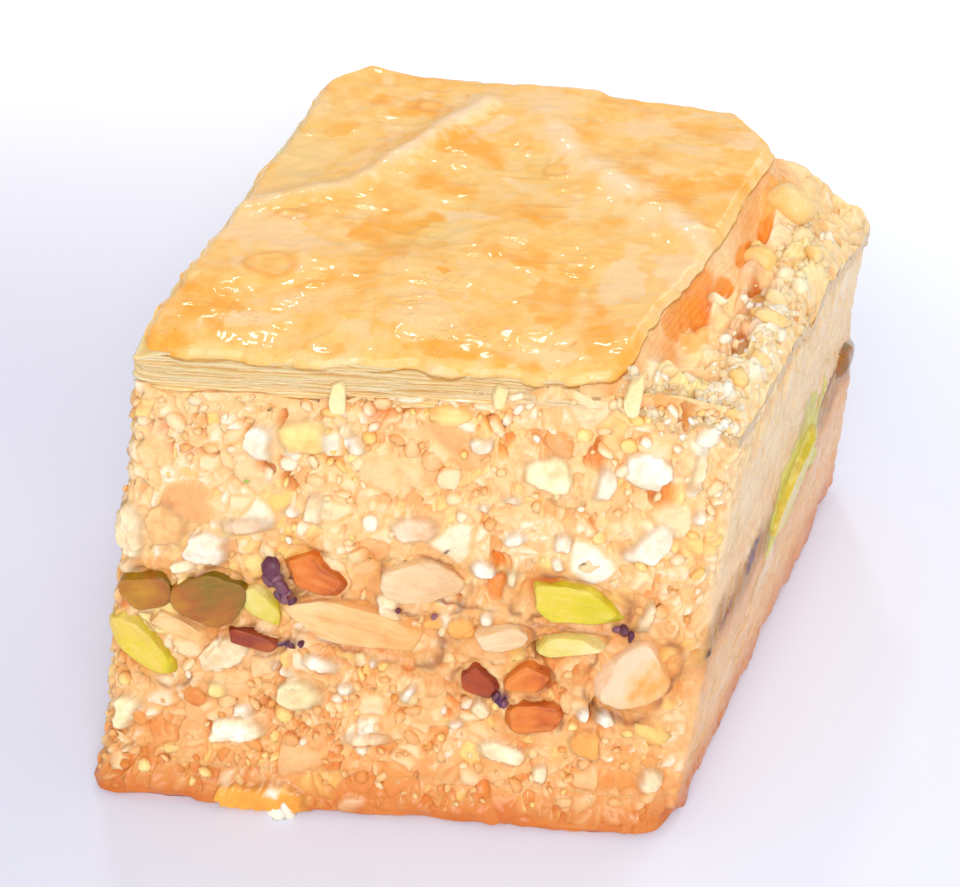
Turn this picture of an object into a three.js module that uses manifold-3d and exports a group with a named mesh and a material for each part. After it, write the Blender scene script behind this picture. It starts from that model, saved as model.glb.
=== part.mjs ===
// One hand-cut piece of baklava: a baked bottom crust, beds of chopped nuts with a band of whole
// and broken nuts between them, and a stack of thin glazed pastry sheets on top.
// Millimetres, +Z up, +Y from the front cut to the back. The origin is the middle of the base.
import * as THREE from "three";
import { mergeVertices } from "three/addons/utils/BufferGeometryUtils.js";
import Module from "manifold-3d";

const wasm = await Module();
wasm.setup();

// Driving dimensions. The knife ran askew, so the plan is a leaning lozenge: each corner has its
// place at the base and at the top of the filling.
const CORNERS = {
  frontLeft: { base: [-27.9, -23.2], top: [-24.2, -17.4] },
  frontRight: { base: [15.0, -22.4], top: [19.3, -16.1] },
  backRight: { base: [25.8, 22.8], top: [27.8, 18.4] },
  backLeft: { base: [-19.4, 22.4], top: [-16.0, 21.9] },
};
const CORNER_POWER = 22; // a higher power makes a sharper corner
const HALF_SIDE = 21; // mean half width, for turning a reach in millimetres into a share
const CRUST_TOP = 3.6;
const LOWER_TOP = 10.8;
const BAND_TOP = 21.5;
const FILLING_TOP = 33;
const SHELF_THICKNESS = 2.2; // the lower pastry sheets, which reach the right side
const PASTRY_TOP = 38;
const UPPER_SHEETS_LEFT = -0.97; // where the upper sheets end, as shares of the half width
const UPPER_SHEETS_RIGHT = 0.66;
const UPPER_SHEETS_CHAMFER = 1.72; // how far out their broken back right corner lies
const GAP = 0.3; // between pieces that touch
const CORE_INSET = 0.6; // how far the beds' cores lie behind the knife cut
const CHIP_CLEARANCE = 0.12; // how far chips keep from the top and bottom of their bed
const NUT_PROUD = 0.5; // how far the large nuts stand out of the cut
const NUT_SUNK = 0.3; // how far a nut's middle lies behind the cut, as a share of its depth
const SIDE_STEPS = 8; // segments along one side of the block
const UNDERSIDE = [{ reach: 0, height: 0 }, { reach: 0.5, height: 0 }]; // rows that every layer shares
const TOPSIDE = [{ reach: 0.5, height: 1 }, { reach: 0, height: 1 }];

const COLOURS = {
  crust: 0xc8813a,
  lowerFilling: 0xe0b184,
  middleFilling: 0xdcb488,
  upperFilling: 0xf0d9a8,
  pastry: 0xeeb552,
};

// Where two folds cross the top sheet, as lines in plan.
const CREASES = [
  { from: [-18.6, 0.6], to: [-3.0, 17.0], rise: 0.75, width: 1.5 },
  { from: [1.5, 14.6], to: [13.0, -0.4], rise: 0.6, width: 1.7 },
  { from: [-19.0, -7.5], to: [-6.0, -4.0], rise: 0.3, width: 2.4 },
];

// Bits of filling that stuck to the pastry, by plan share and height.
const CRUMBS = [
  { p: 0.84, q: 0.3, z: 34.2, radius: 1.9 },
  { p: 0.83, q: 0.66, z: 33.2, radius: 2.3 },
  { p: 0.88, q: -0.3, z: 34.4, radius: 1.6 },
  { p: 0.7, q: -0.97, z: 35.6, radius: 1.5 },
  { p: -0.3, q: -1.0, z: 34.6, radius: 1.3 },
];

// What the large nuts are. narrows is how much the far end does, and boxy is 1 on a round nut and
// less on a squarer one.
const KINDS = {
  almond: { narrows: 0.45, boxy: 0.62, colour: 0xecb26c },
  peanut: { narrows: 0.15, boxy: 0.8, colour: 0xf1dcb6 },
  cashew: { narrows: 0.1, boxy: 0.72, colour: 0xf1dcb6 },
  pistachio: { narrows: 0.3, boxy: 0.85, colour: 0xbfc032 },
  cutPistachio: { narrows: 0.3, boxy: 0.66, colour: 0xdcd98a },
  olive: { narrows: 0.2, boxy: 0.72, colour: 0x93701f },
  amber: { narrows: 0.28, boxy: 0.7, colour: 0xc9762f },
  skin: { narrows: 0.3, boxy: 0.7, colour: 0x5a2a36 },
};

// The large nuts that show in each cut. at is X on the front and the back, and Y on the two sides.
// size is length, height and depth, and tilt turns a nut about the way out of its cut, in degrees.
const NUTS = {
  front: [
    { name: "almond_sliver", kind: "almond", at: -7.1, z: 16.0, size: [11.6, 4.2, 4.4], tilt: -13 },
    { name: "peanut_half", kind: "peanut", at: 12.6, z: 13.6, size: [7.4, 6.0, 5.0], tilt: 55 },
    { name: "pistachio_bright", kind: "pistachio", at: 8.1, z: 19.0, size: [8.8, 4.2, 5.0], tilt: -7 },
    { name: "pistachio_low", kind: "pistachio", at: -22.9, z: 12.9, size: [7.0, 3.6, 4.6], tilt: -50 },
    { name: "olive_wide", kind: "olive", at: -18.0, z: 17.3, size: [6.2, 5.2, 4.6], tilt: 24 },
    { name: "olive_edge", kind: "olive", at: -22.6, z: 17.9, size: [4.4, 3.6, 4.2], tilt: 4 },
    { name: "pistachio_tip", kind: "cutPistachio", at: -14.3, z: 17.3, size: [4.4, 3.0, 3.6], tilt: 118 },
    { name: "amber_wide", kind: "amber", at: -10.6, z: 20.1, size: [5.4, 3.8, 3.8], tilt: -24 },
    { name: "almond_slice", kind: "almond", at: -20.0, z: 14.9, size: [5.4, 1.9, 3.6], tilt: -26 },
    { name: "skin_chip", kind: "amber", at: -14.9, z: 14.3, size: [4.4, 1.8, 3.0], tilt: -14 },
    { name: "cashew_slab", kind: "cashew", at: -2.8, z: 19.9, size: [6.6, 4.4, 4.4], tilt: -10 },
    { name: "almond_wedge", kind: "cashew", at: 2.7, z: 15.9, size: [5.4, 2.4, 3.6], tilt: 10 },
    { name: "pistachio_pale", kind: "cutPistachio", at: 8.0, z: 15.8, size: [5.6, 2.0, 3.8], tilt: 6 },
    { name: "amber_chip", kind: "amber", at: 5.0, z: 12.7, size: [4.0, 2.8, 3.4], tilt: 42 },
    { name: "skin_dark", kind: "skin", at: 1.3, z: 12.2, size: [3.8, 2.8, 3.4], tilt: -35 },
    { name: "olive_low", kind: "olive", at: 5.6, z: 9.6, size: [4.6, 2.9, 3.6], tilt: 5 },
  ],
  right: [
    { name: "pistachio_side", kind: "pistachio", at: 2.6, z: 15.8, size: [13.0, 3.8, 5.0], tilt: 11 },
    { name: "olive_side", kind: "olive", at: 16.0, z: 17.2, size: [5.8, 3.2, 4.0], tilt: -5 },
    { name: "almond_side", kind: "almond", at: -10.0, z: 13.0, size: [6.8, 3.4, 4.2], tilt: 10 },
  ],
  back: [
    { name: "pistachio_back", kind: "pistachio", at: 12.4, z: 17.4, size: [9.6, 4.2, 5.0], tilt: 8 },
    { name: "almond_back", kind: "almond", at: 0.8, z: 15.4, size: [10.8, 4.4, 4.4], tilt: -9 },
    { name: "cashew_back", kind: "cashew", at: -9.4, z: 17.6, size: [6.2, 4.6, 4.4], tilt: 20 },
  ],
  left: [
    { name: "pistachio_left", kind: "pistachio", at: 9.8, z: 17.4, size: [10.2, 4.2, 5.0], tilt: -6 },
    { name: "amber_left", kind: "amber", at: -0.9, z: 15.6, size: [6.0, 4.6, 4.6], tilt: 14 },
    { name: "almond_left", kind: "almond", at: -10.4, z: 17.2, size: [8.0, 3.4, 4.0], tilt: 9 },
  ],
};

// The block's sides, each a straight cut from one corner to the next.
const FACES = {
  front: { from: "frontLeft", to: "frontRight", axis: 0 },
  right: { from: "frontRight", to: "backRight", axis: 1 },
  back: { from: "backRight", to: "backLeft", axis: 0 },
  left: { from: "backLeft", to: "frontLeft", axis: 1 },
};

const lerp = THREE.MathUtils.lerp;
const clamp = THREE.MathUtils.clamp;

// A seeded draw from 0 to 1, so that the crumbs are the same every time.
function makeDraw(seed) {
  let state = seed;
  return () => {
    state = (state + 0x6d2b79f5) | 0;
    let mixed = Math.imul(state ^ (state >>> 15), 1 | state);
    mixed = (mixed + Math.imul(mixed ^ (mixed >>> 7), 61 | mixed)) ^ mixed;
    return ((mixed ^ (mixed >>> 14)) >>> 0) / 4294967296;
  };
}

// A corner of the block at height z. Above the filling the sides stand upright.
function cornerAt(name, z) {
  const { base, top } = CORNERS[name];
  const rise = clamp(z / FILLING_TOP, 0, 1);
  return [lerp(base[0], top[0], rise), lerp(base[1], top[1], rise)];
}

// The block's unit square: p runs left to right and q front to back, both from -1 to 1.
function place(p, q, z) {
  const shares = {
    frontLeft: ((1 - p) * (1 - q)) / 4,
    frontRight: ((1 + p) * (1 - q)) / 4,
    backRight: ((1 + p) * (1 + q)) / 4,
    backLeft: ((1 - p) * (1 + q)) / 4,
  };
  const point = new THREE.Vector3(0, 0, z);
  for (const [name, share] of Object.entries(shares)) {
    const [x, y] = cornerAt(name, z);
    point.x += x * share;
    point.y += y * share;
  }
  return point;
}

// The unit square's p and q of a point, found by steps that each halve the error or better.
function locate(point) {
  let [p, q] = [0, 0];
  for (let step = 0; step < 12; step++) {
    const guess = place(p, q, point.z);
    p += (point.x - guess.x) / HALF_SIDE;
    q += (point.y - guess.y) / HALF_SIDE;
  }
  return [p, q];
}

// How far out a point of the unit square is: 1 on the rounded rim.
function reachOf(p, q) {
  return (Math.abs(p) ** CORNER_POWER + Math.abs(q) ** CORNER_POWER) ** (1 / CORNER_POWER);
}

// A point on the rim, counter-clockwise from the front left corner. crowd draws points to corners.
function rim(turn, crowd) {
  const side = Math.floor(turn * 4) % 4;
  const share = ((turn * 4) % 1) - 0.5;
  const along = crowd ? Math.sin(share * Math.PI) : share * 2;
  const [p, q] = [[along, -1], [1, along], [-along, 1], [-1, -along]][side];
  const reach = reachOf(p, q);
  return [p / reach, q / reach];
}

// Moves a point that lies outside the knife cut, or above or below its layer, back to it.
function trim(point, proud, floor, roof) {
  const limit = 1 + proud / HALF_SIDE;
  const [p, q] = locate(point).map((share) => clamp(share, -limit, limit));
  const reach = Math.max(reachOf(p / limit, q / limit), 1);
  const [cutP, cutQ] = [p / reach, q / reach];
  return place(cutP, cutQ, clamp(point.z, floor(cutP, cutQ), roof(cutP, cutQ)));
}

function trimGeometry(geometry, proud, floor = () => 0, roof = () => PASTRY_TOP) {
  const points = geometry.attributes.position;
  for (let i = 0; i < points.count; i++) {
    const moved = trim(new THREE.Vector3().fromBufferAttribute(points, i), proud, floor, roof);
    points.setXYZ(i, moved.x, moved.y, moved.z);
  }
  return geometry;
}

// The soft waves that lie between the layers.
function wave(p, q, phase) {
  return 0.45 * Math.sin(2.1 * p + 1.3 * q + 0.7 * phase) * Math.cos(1.7 * q - 0.9 * p);
}

// The filling sinks towards the back right corner, where it has crumbled away.
function fillingTop(p, q) {
  const right = Math.max(p - 0.5, 0) / 0.5;
  const back = Math.max(q + 0.2, 0) / 1.2;
  return FILLING_TOP - 0.8 * right - 2.6 * right * back;
}

function shelfTop(p, q) {
  return fillingTop(p, q) + SHELF_THICKNESS;
}

// The top sheet droops at the front and the back right, and folds cross it as low ridges.
function pastryTop(p, q) {
  const { x, y } = place(p, q, PASTRY_TOP);
  let height = PASTRY_TOP - 0.7 + 0.2 * Math.sin(0.35 * x + 0.5) * Math.cos(0.3 * y);
  height -= 1.0 * (Math.max(-q - 0.72, 0) / 0.28) ** 2;
  height -= 0.9 * Math.max(p + q - 1.0, 0);
  for (const { from, to, rise, width } of CREASES) {
    const start = new THREE.Vector3(...from, 0);
    const nearest = new THREE.Line3(start, new THREE.Vector3(...to, 0))
      .closestPointToPoint(new THREE.Vector3(x, y, 0), true, new THREE.Vector3());
    const off = Math.hypot(x - nearest.x, y - nearest.y);
    height += rise * Math.exp(-((off / width) ** 2));
  }
  return height;
}

// A closed layer: rows of { reach, height } from the middle of the underside, up the wall and over
// to the middle of the top, carried round the rim. plan moves a rim point within the unit square,
// and inset draws a row in by some millimetres.
function layerGeometry({ rows, floor, roof, inset = () => 0, plan = (p, q) => [p, q] }) {
  const segments = SIDE_STEPS * 4;
  const vertices = [];
  const rings = rows.map(({ reach, height }, row) => {
    const start = vertices.length / 3;
    const count = reach === 0 ? 1 : segments;
    for (let i = 0; i < count; i++) {
      const [rimP, rimQ] = rim(i / segments, true);
      const shrunk = reach * (1 - inset(i / segments, row) / HALF_SIDE);
      const [p, q] = plan(rimP * shrunk, rimQ * shrunk);
      vertices.push(...place(p, q, lerp(floor(p, q), roof(p, q), height)).toArray());
    }
    return { start, count };
  });
  const faces = [];
  for (let row = 0; row + 1 < rings.length; row++) {
    const [low, high] = [rings[row], rings[row + 1]];
    for (let i = 0; i < segments; i++) {
      const next = (i + 1) % segments;
      const [a, b] = [low.start + (i % low.count), low.start + (next % low.count)];
      const [d, c] = [high.start + (i % high.count), high.start + (next % high.count)];
      if (a !== b) faces.push(a, b, c);
      if (c !== d) faces.push(a, c, d);
    }
  }
  const geometry = new THREE.BufferGeometry();
  geometry.setAttribute("position", new THREE.Float32BufferAttribute(vertices, 3));
  return geometry.setIndex(faces);
}

function toSolid(geometry) {
  const bare = geometry.clone();
  bare.deleteAttribute("normal");
  bare.deleteAttribute("uv");
  const merged = mergeVertices(bare, 1e-4);
  return new wasm.Manifold(
    new wasm.Mesh({
      numProp: 3,
      vertProperties: new Float32Array(merged.attributes.position.array),
      triVerts: new Uint32Array(merged.index.array),
    }),
  );
}

function toGeometry(solid) {
  const { vertProperties, triVerts } = solid.getMesh();
  const geometry = new THREE.BufferGeometry();
  geometry.setAttribute("position", new THREE.Float32BufferAttribute(vertProperties, 3));
  geometry.setIndex(new THREE.BufferAttribute(triVerts, 1));
  return geometry;
}

// The largest body of a cut solid, without its scraps and sealed hollows.
function mainBody(solid) {
  return solid.decompose().reduce((best, body) => (body.volume() > best.volume() ? body : best));
}

function cutPockets(solid, pockets) {
  return mainBody(pockets.reduce((rest, pocket) => rest.subtract(pocket), solid));
}

// A broken chip of nut: a twenty-sided lump with its corners pushed in and out.
function chipGeometry(radius, spot, draw) {
  const ball = new THREE.IcosahedronGeometry(radius, 0);
  ball.deleteAttribute("normal");
  ball.deleteAttribute("uv");
  const lump = mergeVertices(ball, 1e-3);
  const points = lump.attributes.position;
  const stretch = [1.15 + 0.3 * draw(), 1, 0.7 + 0.2 * draw()];
  for (let i = 0; i < points.count; i++) {
    const push = 0.85 + 0.3 * draw();
    const corner = new THREE.Vector3().fromBufferAttribute(points, i).multiplyScalar(push);
    points.setXYZ(i, corner.x * stretch[0], corner.y * stretch[1], corner.z * stretch[2]);
  }
  lump.rotateX(draw() * 6.28).rotateY(draw() * 6.28).rotateZ(draw() * 6.28);
  return lump.translate(spot.x, spot.y, spot.z);
}

// A kernel: a long round body whose far end narrows, squared up where it was broken.
function kernelGeometry([length, height, depth], { narrows, boxy }) {
  const ball = new THREE.SphereGeometry(1, 8, 6);
  const points = ball.attributes.position;
  const square = (share) => Math.sign(share) * Math.abs(share) ** boxy;
  for (let i = 0; i < points.count; i++) {
    const along = square(points.getY(i));
    const girth = 1 - narrows * 0.5 * (1 + along);
    const across = square(points.getX(i)) * girth;
    const out = square(points.getZ(i)) * girth;
    points.setXYZ(i, (along * length) / 2, (-across * height) / 2, (out * depth) / 2);
  }
  return ball;
}

// The frame of a spot on a cut face: X along the face, Y up, and Z out of the block.
function onFace(face, at, z) {
  const { from, to, axis } = FACES[face];
  const [start, end] = [cornerAt(from, z), cornerAt(to, z)];
  const share = (at - start[axis]) / (end[axis] - start[axis]);
  const along = new THREE.Vector3(end[0] - start[0], end[1] - start[1], 0).normalize();
  const up = new THREE.Vector3(0, 0, 1);
  const out = new THREE.Vector3().crossVectors(along, up);
  return new THREE.Matrix4()
    .makeBasis(along, up, out)
    .setPosition(lerp(start[0], end[0], share), lerp(start[1], end[1], share), z);
}

// A nut where it lies, cut by the knife. grow widens it into the pocket that holds it.
function nutSolid({ face, kind, at, z, size, tilt }, grow) {
  const sunk = NUT_SUNK * size[2];
  const lie = onFace(face, at, z)
    .multiply(new THREE.Matrix4().makeTranslation(0, 0, -sunk))
    .multiply(new THREE.Matrix4().makeRotationZ(THREE.MathUtils.degToRad(tilt)));
  const grown = size.map((length) => length + 2 * grow);
  const kernel = kernelGeometry(grown, KINDS[kind]).applyMatrix4(lie);
  return toSolid(trimGeometry(kernel, NUT_PROUD + 3 * grow));
}

// A bed of chopped nuts: a core with chips fused on, the largest first, spread evenly round the
// rim. A chip that would lie on a large nut is skipped.
function bedSolid({ floor, roof, chips, smallest, largest, seed }) {
  const draw = makeDraw(seed);
  const chipFloor = (p, q) => floor(p, q) + CHIP_CLEARANCE;
  const chipRoof = (p, q) => roof(p, q) - CHIP_CLEARANCE;
  const nearNut = (spot) =>
    nuts.some(({ face, at, z, size }) => {
      const middle = new THREE.Vector3().setFromMatrixPosition(onFace(face, at, z));
      return middle.distanceTo(spot) < 0.45 * size[0];
    });
  let bed = toSolid(
    layerGeometry({
      rows: [...UNDERSIDE, { reach: 1, height: 0 }, { reach: 1, height: 1 }, ...TOPSIDE],
      floor,
      roof,
      inset: () => CORE_INSET,
    }),
  );
  for (let i = 0; i < chips; i++) {
    const [rimP, rimQ] = rim((0.137 + i * 0.7548776662) % 1, false);
    const height = lerp(0.08, 0.92, (0.31 + i * 0.569840291) % 1);
    const shrunk = 1 - (CORE_INSET * lerp(0.6, 1.1, draw())) / HALF_SIDE;
    const [p, q] = [rimP * shrunk, rimQ * shrunk];
    const spot = place(p, q, lerp(floor(p, q), roof(p, q), height));
    const radius = lerp(largest, smallest, Math.sqrt(i / chips));
    if (nearNut(spot)) continue;
    const chip = chipGeometry(radius, spot, draw);
    bed = bed.add(toSolid(trimGeometry(chip, lerp(0, 0.35, draw()), chipFloor, chipRoof)));
  }
  return cutPockets(bed, nutPockets);
}

// The bottom crust: soaked sheets pressed together, flat below, with a wall of shallow steps.
function crustSolid(roof) {
  const wall = [0, 0.35, 0.6, 0.85, 1].map((height) => ({ reach: 1, height }));
  const crust = layerGeometry({
    rows: [...UNDERSIDE, ...wall, ...TOPSIDE],
    floor: () => 0,
    roof,
    inset: (turn, row) => 0.2 * Math.sin(44 * turn + 2.3 * row),
  });
  return toSolid(crust);
}

// One flight of pastry sheets, with a wall whose steps go in and out like the sheets' edges.
function sheetsSolid({ floor, roof, flakes, plan, step, topRows, seed }) {
  const draw = makeDraw(seed);
  const steps = flakes * 2;
  const wall = Array.from({ length: steps + 1 }, (_, i) => ({ reach: 1, height: i / steps }));
  const phases = wall.map(() => draw() * 6.28);
  const ragged = (turn, row) => {
    const flake = row - 2;
    if (flake < 0 || flake >= wall.length) return 0;
    const phase = phases[flake];
    const tear = 0.3 * Math.sin(31.4 * turn + phase) + 0.2 * Math.sin(69 * turn + 2 * phase);
    return tear + (flake % 2 === 0 ? step : 0);
  };
  const top = topRows.map((reach) => ({ reach, height: 1 }));
  const rows = [...UNDERSIDE, ...wall, ...top];
  return toSolid(layerGeometry({ rows, floor, roof, plan, inset: ragged }));
}

// The pastry: lower sheets over the whole filling, and upper sheets that end short of the right
// side and have lost their back right corner. Bits of filling stick to them.
function pastrySolid() {
  const lowerSheets = sheetsSolid({
    floor: (p, q) => fillingTop(p, q) + GAP,
    roof: shelfTop,
    flakes: 2,
    plan: (p, q) => [p * (p + q > 0 ? 1 - 0.14 * (p + q) : 0.985), q],
    step: 0.7,
    topRows: [0.5, 0],
    seed: 5,
  });
  const upperSheets = sheetsSolid({
    floor: (p, q) => shelfTop(p, q) - 0.6,
    roof: pastryTop,
    flakes: 3,
    plan: (p, q) => {
      const chamfer = p + q > UPPER_SHEETS_CHAMFER ? UPPER_SHEETS_CHAMFER / (p + q) : 1;
      const across = (p * chamfer + 1) / 2;
      return [lerp(UPPER_SHEETS_LEFT, UPPER_SHEETS_RIGHT, across), q * chamfer * (1.03 + 0.03 * p)];
    },
    step: 0.6,
    topRows: [0.92, 0.82, 0.7, 0.58, 0.46, 0.34, 0.2, 0],
    seed: 9,
  });
  const draw = makeDraw(21);
  const crumbs = CRUMBS.map(({ p, q, z, radius }) => {
    const chip = chipGeometry(radius, place(p, q, z), draw);
    return toSolid(trimGeometry(chip, 0.3, (share, depth) => fillingTop(share, depth) + 2 * GAP));
  });
  return mainBody(crumbs.reduce((pastry, crumb) => pastry.add(crumb), lowerSheets.add(upperSheets)));
}

function nodeMesh(name, solid, colour, roughness) {
  const material = new THREE.MeshStandardMaterial({ color: colour, roughness, metalness: 0 });
  const mesh = new THREE.Mesh(toGeometry(solid), material);
  mesh.name = name;
  return mesh;
}

// Each nut gives way to those before it, and the beds to them all.
const nuts = Object.entries(NUTS).flatMap(([face, list]) => list.map((nut) => ({ face, ...nut })));
const nutPockets = nuts.map((nut) => nutSolid(nut, GAP));
const nutSolids = nuts.map((nut, index) => cutPockets(nutSolid(nut, 0), nutPockets.slice(0, index)));

const crustTop = (p, q) => CRUST_TOP + wave(p, q, 0);
const lowerTop = (p, q) => LOWER_TOP + wave(p, q, 1);
const bandTop = (p, q) => BAND_TOP + wave(p, q, 2);
const above = (surface) => (p, q) => surface(p, q) + GAP;
const beds = {
  lower: { floor: above(crustTop), roof: lowerTop, chips: 34, smallest: 1.2, largest: 2.2, seed: 3 },
  middle: { floor: above(lowerTop), roof: bandTop, chips: 46, smallest: 1.3, largest: 2.3, seed: 7 },
  upper: { floor: above(bandTop), roof: fillingTop, chips: 56, smallest: 1.3, largest: 2.5, seed: 11 },
};

const baklava = new THREE.Group();
baklava.add(nodeMesh("bottom_crust", crustSolid(crustTop), COLOURS.crust, 0.5));
baklava.add(nodeMesh("lower_filling", bedSolid(beds.lower), COLOURS.lowerFilling, 0.6));
baklava.add(nodeMesh("middle_filling", bedSolid(beds.middle), COLOURS.middleFilling, 0.6));
baklava.add(nodeMesh("upper_filling", bedSolid(beds.upper), COLOURS.upperFilling, 0.6));
baklava.add(nodeMesh("pastry_top", pastrySolid(), COLOURS.pastry, 0.3));
nuts.forEach(({ name, kind }, index) => {
  baklava.add(nodeMesh(name, nutSolids[index], KINDS[kind].colour, 0.45));
});

export default baklava;
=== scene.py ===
# %% [markdown]
# # A piece of baklava
# This lesson dresses the plain solids of one piece of baklava. The piece is about 55 mm long. It has
# a soaked bottom crust, beds of chopped nuts that hold together with syrup, a band of larger nuts,
# and thin glazed pastry sheets on top. Everything is worked out in millimetres with numpy arrays and
# becomes metres only when it goes into a mesh.

import bpy
import numpy as np
from mathutils import Matrix, Vector


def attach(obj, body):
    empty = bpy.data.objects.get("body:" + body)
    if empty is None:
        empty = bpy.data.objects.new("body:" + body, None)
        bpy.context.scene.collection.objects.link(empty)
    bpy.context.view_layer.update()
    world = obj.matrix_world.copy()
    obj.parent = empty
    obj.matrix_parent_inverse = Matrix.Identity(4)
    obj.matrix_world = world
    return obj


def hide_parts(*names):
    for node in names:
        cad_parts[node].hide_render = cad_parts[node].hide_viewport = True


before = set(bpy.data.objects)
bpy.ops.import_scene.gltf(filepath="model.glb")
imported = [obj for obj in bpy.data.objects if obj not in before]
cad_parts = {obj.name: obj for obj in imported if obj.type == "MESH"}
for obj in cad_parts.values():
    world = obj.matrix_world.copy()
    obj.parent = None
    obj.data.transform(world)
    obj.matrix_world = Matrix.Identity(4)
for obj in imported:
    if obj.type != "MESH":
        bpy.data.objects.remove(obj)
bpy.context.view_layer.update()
MM = 0.001

# %% [markdown]
# ## The block
# The real piece was cut by hand, so its plan is a leaning lozenge that narrows upwards. The block
# could be a cube bent by a lattice. Here its unit square is spread between four corners instead, so
# every layer can say where it lies by two shares, p from left to right and q from front to back.

# %% The block's corners and cuts
BASE_CORNERS = np.array([[-27.9, -23.2], [15.0, -22.4], [25.8, 22.8], [-19.4, 22.4]])
TOP_CORNERS = np.array([[-24.2, -17.4], [19.3, -16.1], [27.8, 18.4], [-16.0, 21.9]])
FILLING_TOP, TOP_LEVEL = 33.0, 38.0
CORNER_POWER = 22
HALF_SIDE = 21.0


def place(p, q, z):
    """A point of the block: the four corners at height z, each weighed by how near p and q are to it."""
    p, q, z = np.broadcast_arrays(np.asarray(p, float), q, z)
    rise = np.clip(z / FILLING_TOP, 0, 1)[..., None, None]
    corners = BASE_CORNERS + (TOP_CORNERS - BASE_CORNERS) * rise
    weights = np.stack([(1 - p) * (1 - q), (1 + p) * (1 - q), (1 + p) * (1 + q), (1 - p) * (1 + q)], -1) / 4
    plan = (corners * weights[..., None]).sum(-2)
    return np.concatenate([plan, z[..., None]], -1)


def reach_of(p, q):
    """How far out a point is: the 22nd root of the sum of 22nd powers, which is 1 on the rounded rim."""
    return (np.abs(p) ** CORNER_POWER + np.abs(q) ** CORNER_POWER) ** (1 / CORNER_POWER)


def rim(turn):
    """The rim once round from the front left corner: a side of the square, drawn in to reach 1."""
    side = np.floor(turn * 4).astype(int) % 4
    along = (turn * 4) % 1 * 2 - 1
    still = np.ones_like(along)
    p = np.choose(side, [along, still, -along, -still])
    q = np.choose(side, [-still, along, still, -along])
    reach = reach_of(p, q)
    return p / reach, q / reach


def locate(points):
    """The p and q of points, by steps that each take off what the last guess missed."""
    p, q = np.zeros(len(points)), np.zeros(len(points))
    for _ in range(12):
        miss = points - place(p, q, points[:, 2])
        p, q = p + miss[:, 0] / HALF_SIDE, q + miss[:, 1] / HALF_SIDE
    return p, q


def trim(points, proud):
    """Draws points that lie outside the knife cut back to it. proud is how far the cut lies out."""
    p, q = locate(points)
    limit = 1 + proud / HALF_SIDE
    reach = np.maximum(reach_of(p / limit, q / limit), 1)
    cut = reach > 1
    moved = np.where(cut[:, None], place(p / reach, q / reach, points[:, 2]), points)
    return moved, cut


print("footprint corners:", place([-1, 1, 1, -1], [-1, -1, 1, 1], 0).round(1).tolist())

# %% [markdown]
# ## Uneven by rule
# Food is uneven at every scale. Random numbers from a generator would do, but they don't join up
# from one point to the next. These two helpers give every point in space a number by scrambling the
# lattice cell that it lies in: one drifts smoothly, and one packs space with rounded lumps.

# %% Drift and lumps
def scramble(cells, seed):
    """A number from 0 to 1 for each lattice cell, by multiplying its indices and folding the bits."""
    x, y, z = np.moveaxis(cells.astype(np.int64) & 0xFFFFFFFF, -1, 0).astype(np.uint64)
    bits = x * np.uint64(0x9E3779B1) + y * np.uint64(0x85EBCA77) + z * np.uint64(0xC2B2AE3D)
    bits = (bits + np.uint64(seed * 0x27D4EB2F)) & np.uint64(0xFFFFFFFF)
    for shift, factor in ((15, 0x2C1B3C6D), (12, 0x297A2D39)):
        bits = ((bits ^ (bits >> np.uint64(shift))) * np.uint64(factor)) & np.uint64(0xFFFFFFFF)
    return (bits ^ (bits >> np.uint64(15))) / 2.0**32


def drift(points, size, seed):
    """A smooth number from -1 to 1: the scrambled lattice corners, eased from one to the next."""
    scaled = points / size
    cell = np.floor(scaled)
    share = scaled - cell
    share = share * share * (3 - 2 * share)
    total = 0
    for corner in np.ndindex(2, 2, 2):
        weight = np.prod(np.where(corner, share, 1 - share), -1)
        total = total + weight * scramble(cell + corner, seed)
    return total * 2 - 1


def lumps(points, size, seed):
    """Lumps packed side by side: how far in millimetres a point is from the edge of its lump, the
    lump's number, and its middle. Edges lie where two jittered lattice seeds are equally far."""
    scaled = points / size
    home = np.floor(scaled)
    nearest = np.full(len(points), 9.0)
    second = nearest.copy()
    number = np.zeros(len(points))
    middle = np.zeros_like(points)
    for offset in np.ndindex(3, 3, 3):
        cell = home + offset - 1
        jitter = np.stack([scramble(cell, seed + k) for k in range(3)], -1)
        spot = cell + 0.12 + 0.76 * jitter
        away = np.linalg.norm(spot - scaled, axis=-1)
        closer = away < nearest
        second = np.where(closer, nearest, np.minimum(second, away))
        number = np.where(closer, scramble(cell, seed + 3), number)
        middle = np.where(closer[:, None], spot, middle)
        nearest = np.where(closer, away, nearest)
    return (second - nearest) * size / 2, number, middle * size


def ease(low, high, value):
    """0 below low and 1 above high, with a smooth step between."""
    share = np.clip((value - low) / (high - low), 0, 1)
    return share * share * (3 - 2 * share)


def lerp(low, high, share):
    """low where share is 0, high where it is 1, and in a straight line between."""
    return low + (high - low) * share


probe = np.random.default_rng(1).uniform(-20, 20, (2000, 3))
print("drift runs from %.2f to %.2f" % (drift(probe, 3, 1).min(), drift(probe, 3, 1).max()))

# %% [markdown]
# ## From arrays to pieces
# A piece could be grown vertex by vertex with bmesh, which is slow for tens of thousands of faces.
# Here whole arrays go into the mesh at once. Rings of points are joined by quads, a ring of one
# point closes a pole, and the piece's own numbers, such as how deep in syrup a point lies, go along
# as marks that its finish reads.

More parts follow.
